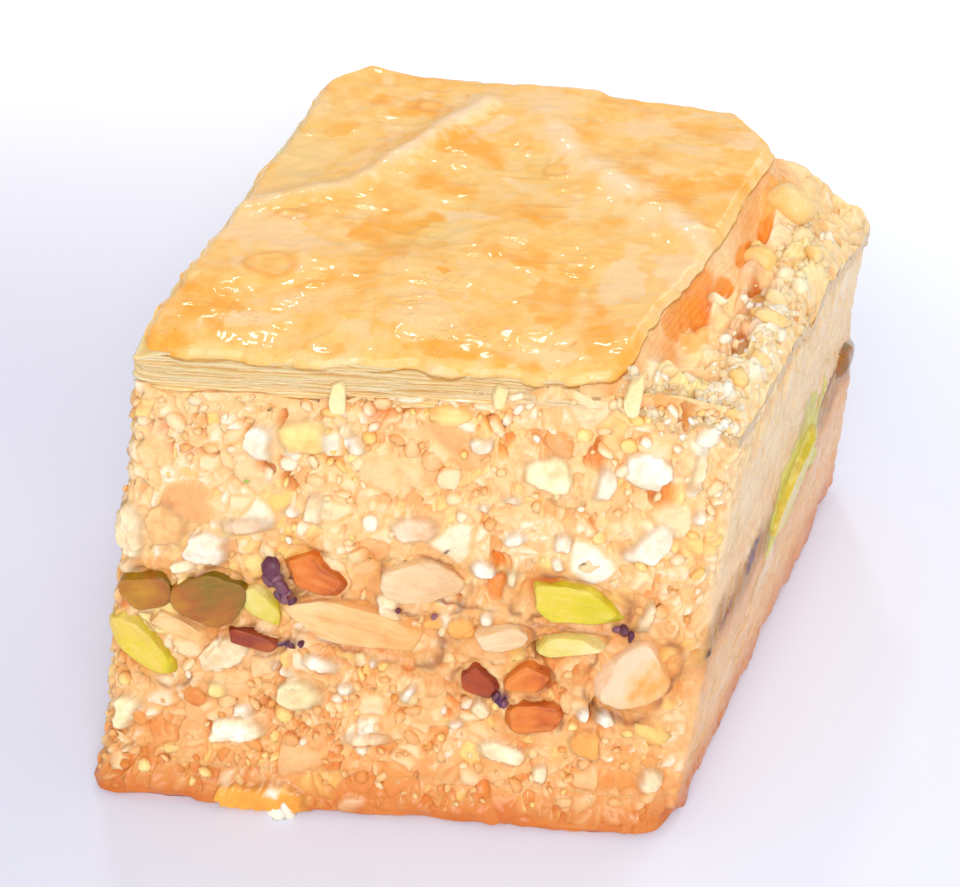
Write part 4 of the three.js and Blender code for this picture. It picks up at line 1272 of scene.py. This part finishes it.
def make_flight(name, floor, roof, plan, sheets, inset, seed):
    """Sheets one above another. Each is a flat loop of rings round the rim that closes inside."""
    turn = np.arange(SHEET_COLUMNS) / SHEET_COLUMNS
    rim_p, rim_q = rim(turn)
    line = np.stack([rim_p * HALF_SIDE, rim_q * HALF_SIDE, np.zeros_like(turn)], -1)
    reach, side = (np.array(column)[:, None] for column in zip(*SHEET_SECTION))
    clouds, bands, bakes_and_shades = [], [], []
    for sheet in range(sheets):
        away = line + np.array([0, 0, 9.0 * sheet])
        tear = 0.34 * drift(away, 4.0, seed) + 0.14 * drift(away, 1.1, seed + 1)
        tear = tear + 0.05 * drift(away, 0.45, seed + 2)
        lift = 0.4 * drift(away, 6.0, seed + 3) + 0.12 * drift(away, 2.0, seed + 4)
        calm = 1 - 0.75 * ease(0.9, 0.99, rim_p) - 0.3 * ease(-0.9, -0.99, rim_q) * (rim_p < 0.9)
        tear, lift = tear * calm, lift * calm * (1 - 0.55 * ease(-0.9, -0.99, rim_q))
        back = inset(sheet / max(sheets - 1, 1), rim_p, rim_q) + tear
        shrunk = reach - np.maximum(back, -3.0) / HALF_SIDE
        p, q = plan(rim_p * shrunk, rim_q * shrunk)
        share = (sheet + 0.02 + 0.96 * side) / sheets
        curl = ease(0.86, 1.0, reach) * lift * (roof(p, q) - floor(p, q)) / sheets
        z = lerp(floor(p, q), roof(p, q), share) + curl * 1.4
        clouds.append(place(p, q, z).reshape(-1, 3))
        rings = ring_faces([SHEET_COLUMNS] * len(SHEET_SECTION) + [SHEET_COLUMNS])
        rings = rings % (SHEET_COLUMNS * len(SHEET_SECTION))
        bands.append(rings + sheet * SHEET_COLUMNS * len(SHEET_SECTION))
        # Painted shade: points behind the tips, in the crevices between sheets, are pushed towards deep
        # orange, on top of each sheet's own bake tone.
        shade = 0.35 + 0.35 * drift(away, 4.0, seed + 5) + 0.55 * (reach < 0.98)
        bakes_and_shades.append((shade + 0 * reach).ravel())
    marks = {"bake": np.concatenate(bakes_and_shades)}
    make_piece(name, np.concatenate(clouds), np.concatenate(bands), edge_finish, "pastry", marks)


make_flight(
    "lower_sheets", lambda p, q: filling_top(p, q) + GAP,
    lambda p, q: shelf_top(p, q) - 1.5 * ease(0.5, 0.64, p), lower_plan, 6,
    lambda rise, p, q: 0.2 + 0.5 * ease(-0.93, -1.0, q), 500)
make_flight(
    "upper_sheets", lambda p, q: shelf_top(p, q) - 0.4,
    lambda p, q: pastry_top(p, q) - 0.42, upper_plan, 12,
    lambda rise, p, q: 0.15 + 1.2 * ease(0.93, 1.0, p) + 1.7 * rise**1.5 * ease(-0.93, -1.0, q), 540)

# %% [markdown]
# ## The top sheet
# The top sheet is glossy with syrup and baked in clouds from cream to deep gold. It folds in two low
# ridges, blisters here and there, and its front edge droops over the sheets below. The folds, the
# blisters and the fine crinkle are in the mesh. The clouds of colour are marks too: each baked or
# pale patch is an ellipse whose edge wanders.

# %% A whole skin
def square_grid(across, along):
    """A square grid drawn in to the rounded rim: each point over the 22nd-power reach of its way out."""
    a, b = np.meshgrid(np.linspace(-1, 1, across), np.linspace(-1, 1, along), indexing="ij")
    most = np.maximum(np.maximum(np.abs(a), np.abs(b)), 1e-9)
    reach = reach_of(a / most, b / most)
    return a / reach, b / reach, most


def skin_faces(across, along):
    """The grid's quads, then a skirt: its rim, the same rim lower down, a ring inside, and a middle."""
    cell = (np.arange(across - 1)[:, None] * along + np.arange(along - 1)).ravel()
    top = np.stack([cell, cell + along, cell + along + 1, cell + 1], -1)
    index = np.arange(across * along).reshape(across, along)
    edge = np.concatenate([index[:-1, 0], index[-1, :-1], index[:0:-1, -1], index[0, :0:-1]])
    count = len(edge)
    skirt = ring_faces([count, count, count, 1])
    lookup = np.concatenate([edge, across * along + np.arange(2 * count + 1), [-1]])
    return np.concatenate([top, lookup[skirt]]), edge


def make_skin(name, across, along, plan, surface, ragged, thick, finish, marks_of, stands_for=()):
    """A thin closed sheet over a plan: its surface, and an underside that hangs from the rim."""
    a, b, most = square_grid(across, along)
    turned = np.stack([a * HALF_SIDE, b * HALF_SIDE, 0 * a], -1).reshape(-1, 3)
    tear = ragged * (drift(turned, 2.6, 610) + 0.5 * drift(turned, 0.9, 611)).reshape(a.shape)
    shrunk = 1 - np.maximum(tear, -ragged) * most**6 / HALF_SIDE
    p, q = plan(a * shrunk, b * shrunk)
    top = place(p, q, TOP_LEVEL).reshape(-1, 3)
    top[:, 2] = surface(p.ravel(), q.ravel(), top, most.ravel())
    faces, edge = skin_faces(across, along)
    under = top[edge] - [0, 0, thick]
    inner_p, inner_q = p.ravel()[edge] * 0.9, q.ravel()[edge] * 0.9
    inside = place(inner_p, inner_q, TOP_LEVEL)
    inside[:, 2] = top[edge, 2] - 1.6 * thick
    middle = np.array([[*place(0, 0, TOP_LEVEL)[:2], top[:, 2].mean() - 1.5 * thick]])
    points = np.concatenate([top, under, inside, middle])
    extra = len(points) - len(top)
    marks = {
        mark: np.concatenate([values, np.repeat(values.mean(0, keepdims=True), extra, 0)])
        for mark, values in marks_of(top).items()
    }
    return make_piece(name, points, faces, finish, "pastry", marks, stands_for)


print("points round the rim of a small skin:", len(skin_faces(5, 5)[1]))

# %% Where the blisters, the baked clouds and the glints lie
# Each row: x and y of the middle, half the length, half the width, and the lean in radians.
BLISTERS = (
    (-15.3, -6.0, 2.0, 1.5, 0.3), (-14.9, 0.6, 1.3, 0.7, 0.4), (-6.8, 16.4, 1.4, 0.9, 0.0),
    (3.4, 9.0, 1.0, 0.8, 0.5),
)
BAKED = (
    (-14.4, 17.9, 3.0, 1.2, 0.1), (-9.8, 16.1, 3.2, 1.5, 0.2), (-8.9, 21.0, 2.2, 0.8, 0.0),
    (-3.1, 10.9, 3.0, 1.7, -0.2), (-5.9, 6.3, 1.8, 1.0, 0.2), (-3.7, 5.6, 1.6, 0.8, 0.0),
    (-7.5, -0.9, 3.0, 3.4, 0.4), (-8.8, -6.0, 3.0, 1.5, 0.5), (-19.2, -10.7, 2.8, 2.6, 0.3),
    (5.7, 13.9, 1.8, 2.4, -0.6), (8.6, 9.6, 2.4, 2.0, -0.8), (12.4, 7.3, 3.2, 2.0, -0.5),
    (16.5, 9.0, 1.6, 2.4, 0.1), (8.0, 18.4, 3.0, 1.5, -0.2), (2.6, 3.4, 2.4, 1.4, -0.5),
    (-20.4, -14.6, 2.6, 1.2, 0.1), (5.5, -7.5, 3.6, 2.0, -0.3), (1.6, -2.4, 3.0, 1.6, -0.4),
    (-13.0, -14.4, 4.6, 0.9, 0.0), (9.2, -12.2, 2.0, 2.6, 0.6), (13.4, 16.0, 2.8, 1.4, -0.4),
    (-1.0, -13.8, 4.6, 0.8, 0.0), (-13.2, 12.8, 2.0, 1.0, 0.5),
)
PALE = (
    (-17.0, 4.6, 3.0, 1.6, 0.6), (-15.6, 8.4, 3.4, 2.4, 0.9), (-11.4, 9.0, 3.2, 1.0, 0.9),
    (-18.4, -1.6, 3.4, 2.0, 0.3), (-13.6, -3.0, 3.0, 1.0, 0.2), (-12.4, -9.6, 3.4, 1.4, 0.2),
    (-15.6, -12.0, 2.6, 0.9, 0.2), (2.0, 17.6, 3.4, 2.2, -0.3), (-2.0, 14.2, 2.8, 0.8, 0.9),
    (3.4, 12.8, 1.8, 2.2, -0.6), (10.4, 3.6, 3.6, 1.9, -0.8), (13.6, -1.8, 1.8, 2.0, -0.4),
    (9.6, 15.6, 2.4, 1.6, 0.2), (3.0, 20.6, 3.2, 0.8, 0.0), (-2.4, 2.4, 2.8, 0.7, -0.2),
    (1.0, 6.8, 2.6, 0.6, -0.6), (9.6, -5.6, 1.6, 2.6, -0.3), (16.2, 15.2, 1.8, 1.0, -0.3),
    (-3.6, -11.4, 3.4, 1.6, 0.1), (4.6, -13.6, 3.0, 1.0, 0.1),
)
GLINTS = (
    (-8.3, -8.5, 2.0, 1.0, 0.2), (-5.5, -9.3, 2.2, 1.6, 0.3), (-3.0, -6.5, 1.4, 1.0, 0.0),
    (-0.5, -11.5, 1.8, 0.9, 0.0), (-15.6, -11.3, 1.4, 0.7, 0.0), (-11.8, -9.9, 1.8, 0.7, -0.1),
    (2.3, -11.9, 1.4, 0.7, 0.0), (6.4, -12.4, 1.8, 0.8, 0.0), (-12.0, -15.2, 5.0, 1.0, 0.0),
    (0.0, -15.6, 6.0, 1.2, 0.0), (8.4, -14.6, 2.4, 1.2, 0.0), (-19.6, -14.8, 2.0, 1.2, 0.0),
)
print("blisters:", len(BLISTERS), "clouds:", len(BAKED) + len(PALE), "wet spots:", len(GLINTS))


# %% Clouds and folds in numbers
def off_ellipse(points, x, y, long, short, lean):
    """How far out of a leaning ellipse a point lies, seen from above: 1 on its edge."""
    away_x, away_y = points[:, 0] - x, points[:, 1] - y
    along = away_x * np.cos(lean) + away_y * np.sin(lean)
    across = away_y * np.cos(lean) - away_x * np.sin(lean)
    return np.hypot(along / long, across / short)


def stains(points, patches, seed, soft_edge):
    """How deep a point lies in any patch: an ellipse whose edge wanders at three scales, soft on one
    side and crisp on the other, each patch as strong as its number in a scrambled row says."""
    wander = 1 + 0.45 * drift(points, 2.4, seed) + 0.32 * drift(points, 1.1, seed + 1)
    wander = wander + 0.22 * drift(points, 0.5, seed + 2)
    soft_edge = soft_edge * (1.3 + drift(points, 3.0, seed + 3))
    most = np.zeros(len(points))
    for number, patch in enumerate(patches):
        off = off_ellipse(points, *patch) * wander
        strength = 0.55 + 0.45 * (number * GOLDEN % 1)
        crisp, faint = 1 - ease(0.9, 1.04, off), 1 - ease(1 - soft_edge, 1 + 0.6 * soft_edge, off)
        most = np.maximum(most, strength * lerp(crisp, faint, 0.6))
    return most


def top_surface(p, q, points, most):
    """The folds, plus blisters with a raised rim, plus crinkles, less a droop at the very edge."""
    flat = points * [1, 1, 0]
    height = pastry_top(p, q)
    for blister in BLISTERS:
        off = off_ellipse(points, *blister) * (1 + 0.15 * drift(flat, 1.2, 620))
        height += 0.08 * np.exp(-(((off - 0.85) / 0.22) ** 2)) + 0.08 * np.exp(-(off**2))
    height += 0.16 * drift(flat, 4.5, 621) + 0.09 * drift(flat, 1.8, 622)
    bent = flat * [1, 1.9, 1] + 0.8 * drift(flat, 3.0, 624)[:, None]
    crinkle = 1 - 2.2 * np.abs(drift(bent, 2.2, 623))
    height += 0.07 * np.maximum(crinkle, 0) + 0.025 * drift(flat, 0.55, 625)
    return height - 0.55 * ease(0.94, 1.0, most) ** 2


def top_marks(points):
    """The marks of the top sheet: baked and pale clouds, blister rings, fold crests, and wet spots."""
    flat = points * [1, 1, 0]
    cloud = 0.5 * drift(flat, 2.6, 630) + 0.3 * drift(flat, 1.1, 631)
    crest = folds(flat[:, 0], flat[:, 1])[1] * (0.65 + 0.5 * drift(flat, 1.3, 632))
    baked = np.maximum(stains(flat, BAKED, 640, 0.7), 0.5 * ease(0.2, 0.5, cloud))
    baked = baked * (0.8 + 0.4 * drift(flat, 1.2, 633)) * (1 - np.clip(crest, 0, 1))
    pale = np.maximum(stains(flat, PALE, 650, 0.8), 0.6 * ease(0.2, 0.5, -cloud))
    rings = np.zeros(len(points))
    for x, y, long, short, _ in BLISTERS:
        off = off_ellipse(points, x, y, long, short, 0.0) * (1 + 0.12 * drift(flat, 1.0, 634))
        rings += np.exp(-(((off - 0.9) / 0.16) ** 2)) * (0.7 + 0.5 * (points[:, 1] < y))
    green = np.exp(-(((points[:, 0] + 15.5) / 3.0) ** 2) - ((points[:, 1] - 9.0) / 6.0) ** 2)
    return {
        "baked": baked, "pale": pale * (1 - 0.7 * baked), "ring": rings, "green": green,
        "crest": np.clip(crest, 0, 1), "wet": np.minimum(stains(flat, GLINTS, 660, 0.6) * 1.6, 1),
    }


probe = np.array([[0.0, 0.0, TOP_LEVEL]])
print("the top sheet's middle lies at %.1f mm" % top_surface(np.zeros(1), np.zeros(1), probe, np.zeros(1))[0])

# %% The finish of the top sheet
top_finish = Finish("glazed_top", Coat_Roughness=0.06, **soft(0.8, 0.3))
baked, pale, wet = (top_finish.mark(mark) for mark in ("baked", "pale", "wet"))
mottle = top_finish.speckle(1.6, 6.0)
broad = top_finish.speckle(4.5, 3.0, shift=3.0)
fine = top_finish.speckle(0.45, 3.0)
gold = top_finish.ramp(
    mottle * 0.9 + broad * 0.5 - 0.2,
    [(0.2, colour(250, 206, 144)), (0.42, colour(252, 200, 122)),
     (0.6, colour(251, 190, 98)), (0.85, colour(247, 172, 72))])
gold = top_finish.blend(top_finish.step(baked + mottle * 0.5, 0.4, 1.15) * 0.95, gold, colour(250, 168, 52))
wrinkles = top_finish.speckle(0.45, 4.0, (5, 1, 1))
gold = top_finish.blend(top_finish.step(wrinkles, 0.5, 0.75) * 0.25, gold, colour(253, 212, 154))
gold = top_finish.blend(top_finish.step(pale + mottle * 0.5, 0.4, 1.1) * 0.9, gold, colour(253, 208, 152))
gold = top_finish.blend(top_finish.mark("crest") * 0.85, gold, colour(254, 218, 176))
gold = top_finish.blend(top_finish.mark("ring") * 0.5, gold, colour(232, 150, 58))
gold = top_finish.blend(top_finish.mark("green") * 0.5, gold, colour(230, 194, 104))
beads = top_finish.step(top_finish.speckle(0.38, 1.0, shift=7.0), 0.52, 0.72) * wet
top_finish.surface(gold, fine * 0.2 + 0.24, mottle * 0.5 + fine * 0.8 + beads * 0.7, 0.07, beads * 0.6 + 0.4)
print("nodes in the top sheet's finish:", len(top_finish.tree.nodes))


# %% Make the top sheet
def top_plan(p, q):
    """The top sheet's plan: the upper flight's, but it ends short of the front."""
    p, q = upper_plan(p, q)
    return p, q + 0.075 * ease(0.0, -1.0, q)


make_skin(
    "glazed_top_sheet", 236, 236, top_plan, top_surface, 0.35, 0.25, top_finish, top_marks, ("pastry_top",))

# %% [markdown]
# ## The torn side on the right
# Beyond the top sheet the upper sheets have come away. A smooth slope of pressed sheet edges runs
# down to a shelf, where syrup pooled deep orange. Past a crumbly ridge with a few holes lies bare
# filling, pale and smeared. It could be a dozen small pieces. One skin with a table of mounds and
# pits joins them without seams, as syrup does.

# %% Mounds and pits of the torn side
TORN_SHADES = {
    "amber": (248, 158, 62), "pit": (222, 126, 40), "pale": (254, 229, 166), "cream": (253, 226, 182),
    "crisp": (244, 180, 94), "white": (255, 242, 216), "gold": (250, 190, 108), "rose": (246, 200, 152),
}
TAN, CRUMBLED = ((244, 172, 100), (252, 212, 156)), (253, 226, 172)
# Each row: p and q of the middle, half its width and length as shares, its rise and its shade.
MOUNDS = (
    (0.66, -0.28, 0.05, 0.16, -0.9, "amber"), (0.63, -0.46, 0.035, 0.12, -0.6, "amber"),
    (0.71, -0.12, 0.03, 0.08, -0.5, "amber"), (0.72, -0.28, 0.025, 0.04, 0.9, "cream"),
    (0.70, -0.47, 0.045, 0.1, 0.2, "gold"), (0.75, 0.05, 0.03, 0.1, 0.8, "rose"),
    (0.78, -0.15, 0.025, 0.12, 0.9, "rose"), (0.80, -0.38, 0.022, 0.2, 0.7, "rose"),
    (0.80, -0.05, 0.028, 0.07, -2.0, "pit"), (0.84, -0.42, 0.028, 0.1, -2.0, "pit"),
    (0.80, -0.9, 0.025, 0.07, -1.4, "pit"), (0.90, -0.28, 0.06, 0.12, 0.9, "white"),
    (0.88, -0.02, 0.05, 0.12, 0.7, "cream"), (0.93, -0.55, 0.04, 0.14, 0.5, "white"),
    (0.88, -0.66, 0.04, 0.1, 0.6, "cream"), (0.70, -0.84, 0.05, 0.1, 0.8, "pale"),
    (0.78, -0.8, 0.05, 0.08, 0.6, "pale"), (0.88, -0.82, 0.05, 0.08, 0.5, "white"),
    (0.76, 0.55, 0.09, 0.2, 1.6, "crisp"), (0.79, 0.4, 0.06, 0.1, 1.3, "cream"),
    (0.86, 0.32, 0.06, 0.1, 0.8, "pale"), (0.93, 0.25, 0.04, 0.2, 0.6, "pale"),
    (0.71, 0.16, 0.02, 0.12, -0.5, "amber"), (0.73, 0.36, 0.02, 0.1, -0.6, "amber"),
)
print("mounds and pits:", len(MOUNDS))


# %% The shape of the torn side
def beyond(p, q):
    """How many millimetres a point lies outside the right side or the cut corner of the upper flight."""
    width = upper_right(q) - UPPER_LEFT
    across = (p - UPPER_LEFT) / width * 2 - 1
    return (np.maximum(across, (across + q) / CHAMFER) - 1) * width / 2 * HALF_SIDE


def torn_side(p, q):
    """The level, shade, syrup and wetness of the torn side at p and q."""
    flat = place(p, q, FILLING_TOP)
    out = beyond(p, q) + 0.25 * drift(flat, 2.6, 681)
    slope = ease(-0.4, 1.6, out)
    steps = slope * 6
    slope = lerp(slope, (np.floor(steps) + ease(0.3, 0.9, steps % 1)) / 6, 0.5)
    depth, chink, packed, _ = relief(flat, np.zeros(len(flat)))
    front = ease(-0.64, -0.78, q + 0.08 * drift(flat, 2.0, 687))
    rough = np.maximum(ease(1.6, 2.6, out), front * ease(0.2, 1.0, out))
    shelf = shelf_top(p, q) - 0.2 + 0.25 * drift(flat, 3.0, 682) + 0.16 * drift(flat, 1.0, 683)
    mass = filling_top(p, q) + 2.0 + 0.6 * drift(flat, 2.4, 684) + 0.35 * drift(flat, 1.1, 691)
    mass = mass - 1.5 * depth - 1.4 * ease(0.9, 0.985, p) ** 2
    mass = mass - 1.4 * ease(0.3, 0.95, q) * ease(0.78, 0.9, p) + 0.8 * front
    low = lerp(shelf, mass, np.maximum(ease(0.73, 0.8, p + 0.02 * drift(flat, 1.6, 692)), front))
    strands = 0.5 + 0.5 * drift(flat * [1, 0.25, 1], 0.9, 688) + 0.3 * drift(flat * [1, 0.3, 1], 0.4, 689)
    tan = lerp(shade_of(TAN[0]), shade_of(TAN[1]), np.clip(strands, 0, 1)[:, None])
    shade = lerp(tan, packed * 0.45 + 0.55 * shade_of(CRUMBLED), rough[:, None])
    wander = 1 + 0.25 * drift(flat, 1.6, 685) + 0.15 * drift(flat, 0.7, 686)
    wet, mound = np.zeros(len(flat)), np.zeros(len(flat))
    for at_p, at_q, wide, long, rise, kind in MOUNDS:
        off = np.hypot((p - at_p) / wide, (q - at_q) / long) * wander
        dome = ease(1.2, 0.3, off)
        mound = np.maximum(mound, rise * dome)
        low = low + min(rise, 0) * dome
        share = 1 - ease(0.75, 1.1, off)
        shade = lerp(shade, shade_of(TORN_SHADES[kind]), share[:, None])
        chink = chink * (1 - share)
        wet = np.maximum(wet, share * (kind in ("amber", "pit")))
    low = low + mound * (1 + 0.2 * drift(flat, 0.9, 690))
    level = lerp(pastry_top(p, q) - 0.55, low, slope) - 0.45 * ease(0.93, 0.985, np.abs(q)) * slope
    return level, shade, chink * 0.5 * rough, wet


print("the torn side at its middle lies at %.1f mm" % torn_side(np.array([0.8]), np.zeros(1))[0][0])

# %% The skin of the torn side
TORN_LEFT, TORN_RIGHT, TORN_END = 0.45, 0.985, 0.985


def torn_plan(p, q):
    """The skin's plan: from below the top sheet's edge to just inside the right cut."""
    return lerp(TORN_LEFT, TORN_RIGHT, (p + 1) / 2), q * TORN_END


def torn_marks(points):
    """The shade, syrup and wetness of the skin's points, found again from where they lie."""
    p, q = locate(points * [1, 1, 0] + [0, 0, TOP_LEVEL])
    _, shade, chink, wet = torn_side(p, q)
    return {"shade": shade, "chink": chink, "wet": wet}


torn_finish = Finish("torn_side", Coat_Roughness=0.1, **soft(0.9, 0.3))
cloud = torn_finish.speckle(0.8, 4.0)
torn_shade = syruped(torn_finish, torn_finish.mark("shade", output=0), cloud)
torn_finish.surface(
    torn_shade, 0.42 - 0.28 * torn_finish.mark("wet"), torn_finish.speckle(0.3, 3.0) + cloud * 0.8, 0.07,
    torn_finish.mark("wet") * 0.7 + 0.2)
make_skin(
    "torn_right_side", 190, 250, torn_plan, lambda p, q, points, most: torn_side(p, q)[0], 0.12, 0.9,
    torn_finish, torn_marks)

# %% Crumbs on the torn side
CRUMBS = 420
radius = np.sort(draw.uniform(0.0, 1.0, CRUMBS) ** 2.2)[::-1] * 0.45 + 0.18
p, q = draw.uniform(0.78, 0.96, CRUMBS), draw.uniform(-0.95, 0.6, CRUMBS)
at_front = np.arange(CRUMBS) % 2 == 0
p, q = np.where(at_front, 0.62 + 2.1 * (p - 0.8), p), np.where(at_front, -0.9 + 0.1 * q, q)
spots = place(p, q, torn_side(p, q)[0] - 0.35 * radius)
mix = scramble(np.floor(spots * 50), 5)
for name, low, high, source, seed in (
    ("clinging_cream_crumbs", 0.0, 0.72, "cream_grains", 700),
    ("clinging_white_crumbs", 0.72, 1.0, "white_crumbs", 710),
):
    chosen = (mix >= low) & (mix < high)
    slot, *shades = GRAINS[source]
    make_grains(name, spots[chosen], radius[chosen], 0.1, slot, shades, seed)

# %% Large crumbs on the torn side, and flakes of purple skin at the front cut
# Each lump has its p, q and radius, and each flake its spot on the cut, its height and its radius.
LUMPS = (
    (0.755, 0.17, 1.3), (0.73, 0.25, 0.8), (0.77, 0.55, 2.0), (0.84, 0.4, 1.0), (0.72, -0.27, 0.7),
    (0.90, -0.3, 1.0), (0.93, -0.52, 0.8), (0.88, -0.12, 0.9), (0.90, -0.7, 0.8), (0.87, 0.1, 1.0),
    (0.93, 0.02, 0.8), (0.92, 0.26, 0.9), (0.70, -0.82, 0.8), (0.77, -0.76, 0.8), (0.84, -0.88, 0.8),
    (0.85, -0.22, 0.7), (0.86, -0.58, 0.7), (0.80, 0.28, 0.7),
)
p, q, radius = np.array(LUMPS).T
spots = place(p, q, torn_side(p, q)[0] - 0.1 * radius)
make_grains(
    "torn_side_lumps", spots, radius, 0.1, "upper_filling", ((250, 204, 126), (254, 236, 196)), 760)
FLAKES = (
    (-13.6, 20.6, 0.7), (-13.2, 19.9, 0.6), (-13.8, 19.7, 0.5), (-12.9, 19.2, 0.65),
    (-12.5, 18.5, 0.55), (-13.1, 18.5, 0.4), (-12.1, 18.1, 0.4), (11.7, 17.4, 0.5), (12.2, 17.1, 0.4),
    (11.2, 17.6, 0.3), (2.8, 11.4, 0.45), (3.3, 10.9, 0.4), (-12.2, 14.4, 0.4), (-11.4, 14.6, 0.3),
    (-1.8, 17.6, 0.25), (-4.4, 17.9, 0.22),
)
at, z, radius = np.array(FLAKES).T
spots = np.array([on_face("front", *spot)[0] for spot in zip(at, z)])
make_grains("purple_skin_flakes", spots, radius, 0.4, "dark_skin", ((92, 40, 62), (148, 98, 112)), 780)

# %% Two white crumbs that lie where syrup dripped off the front
drip, along, _, out = on_face("front", -13.0, 0.35)
drip_spots = drip + out * 0.2 + along * np.array([-0.45, 0.45])[:, None]
make_grains(
    "crumbs_at_the_drip", drip_spots, np.array([1.0, 1.1]), 0.9, "upper_filling",
    ((253, 232, 196), (255, 244, 220)), 790)

# %% Slivers of almond that stand at the front edge of the pastry
# Each sliver: its spot along the front, its height, its size and its tilt in degrees.
SLIVERS = (
    (11.6, 36.3, (3.6, 1.5, 1.6), 80), (-8.7, 34.6, (2.8, 1.5, 1.6), 86),
    (2.4, 35.4, (2.0, 1.3, 1.4), 70),
)
parts = [
    kernel("front", "almond", at, z, size, tilt, 800 + number, 0.1, 0.45)
    for number, (at, z, size, tilt) in enumerate(SLIVERS)
]
sliver_finish = kernel_finish(
    "sliver_flesh", ((0.2, (254, 232, 176)), (0.8, (253, 222, 160))), (250, 214, 150), (252, 220, 160))
each = len(parts[0][0])
points = np.concatenate([points for points, _, _ in parts])
faces = [np.where(faces < 0, -1, faces + number * each) for number, (_, faces, _) in enumerate(parts)]
marks = {mark: np.concatenate([marks[mark] for _, _, marks in parts]) for mark in parts[0][2]}
make_piece("standing_slivers", points, np.concatenate(faces), sliver_finish, "almond", marks)
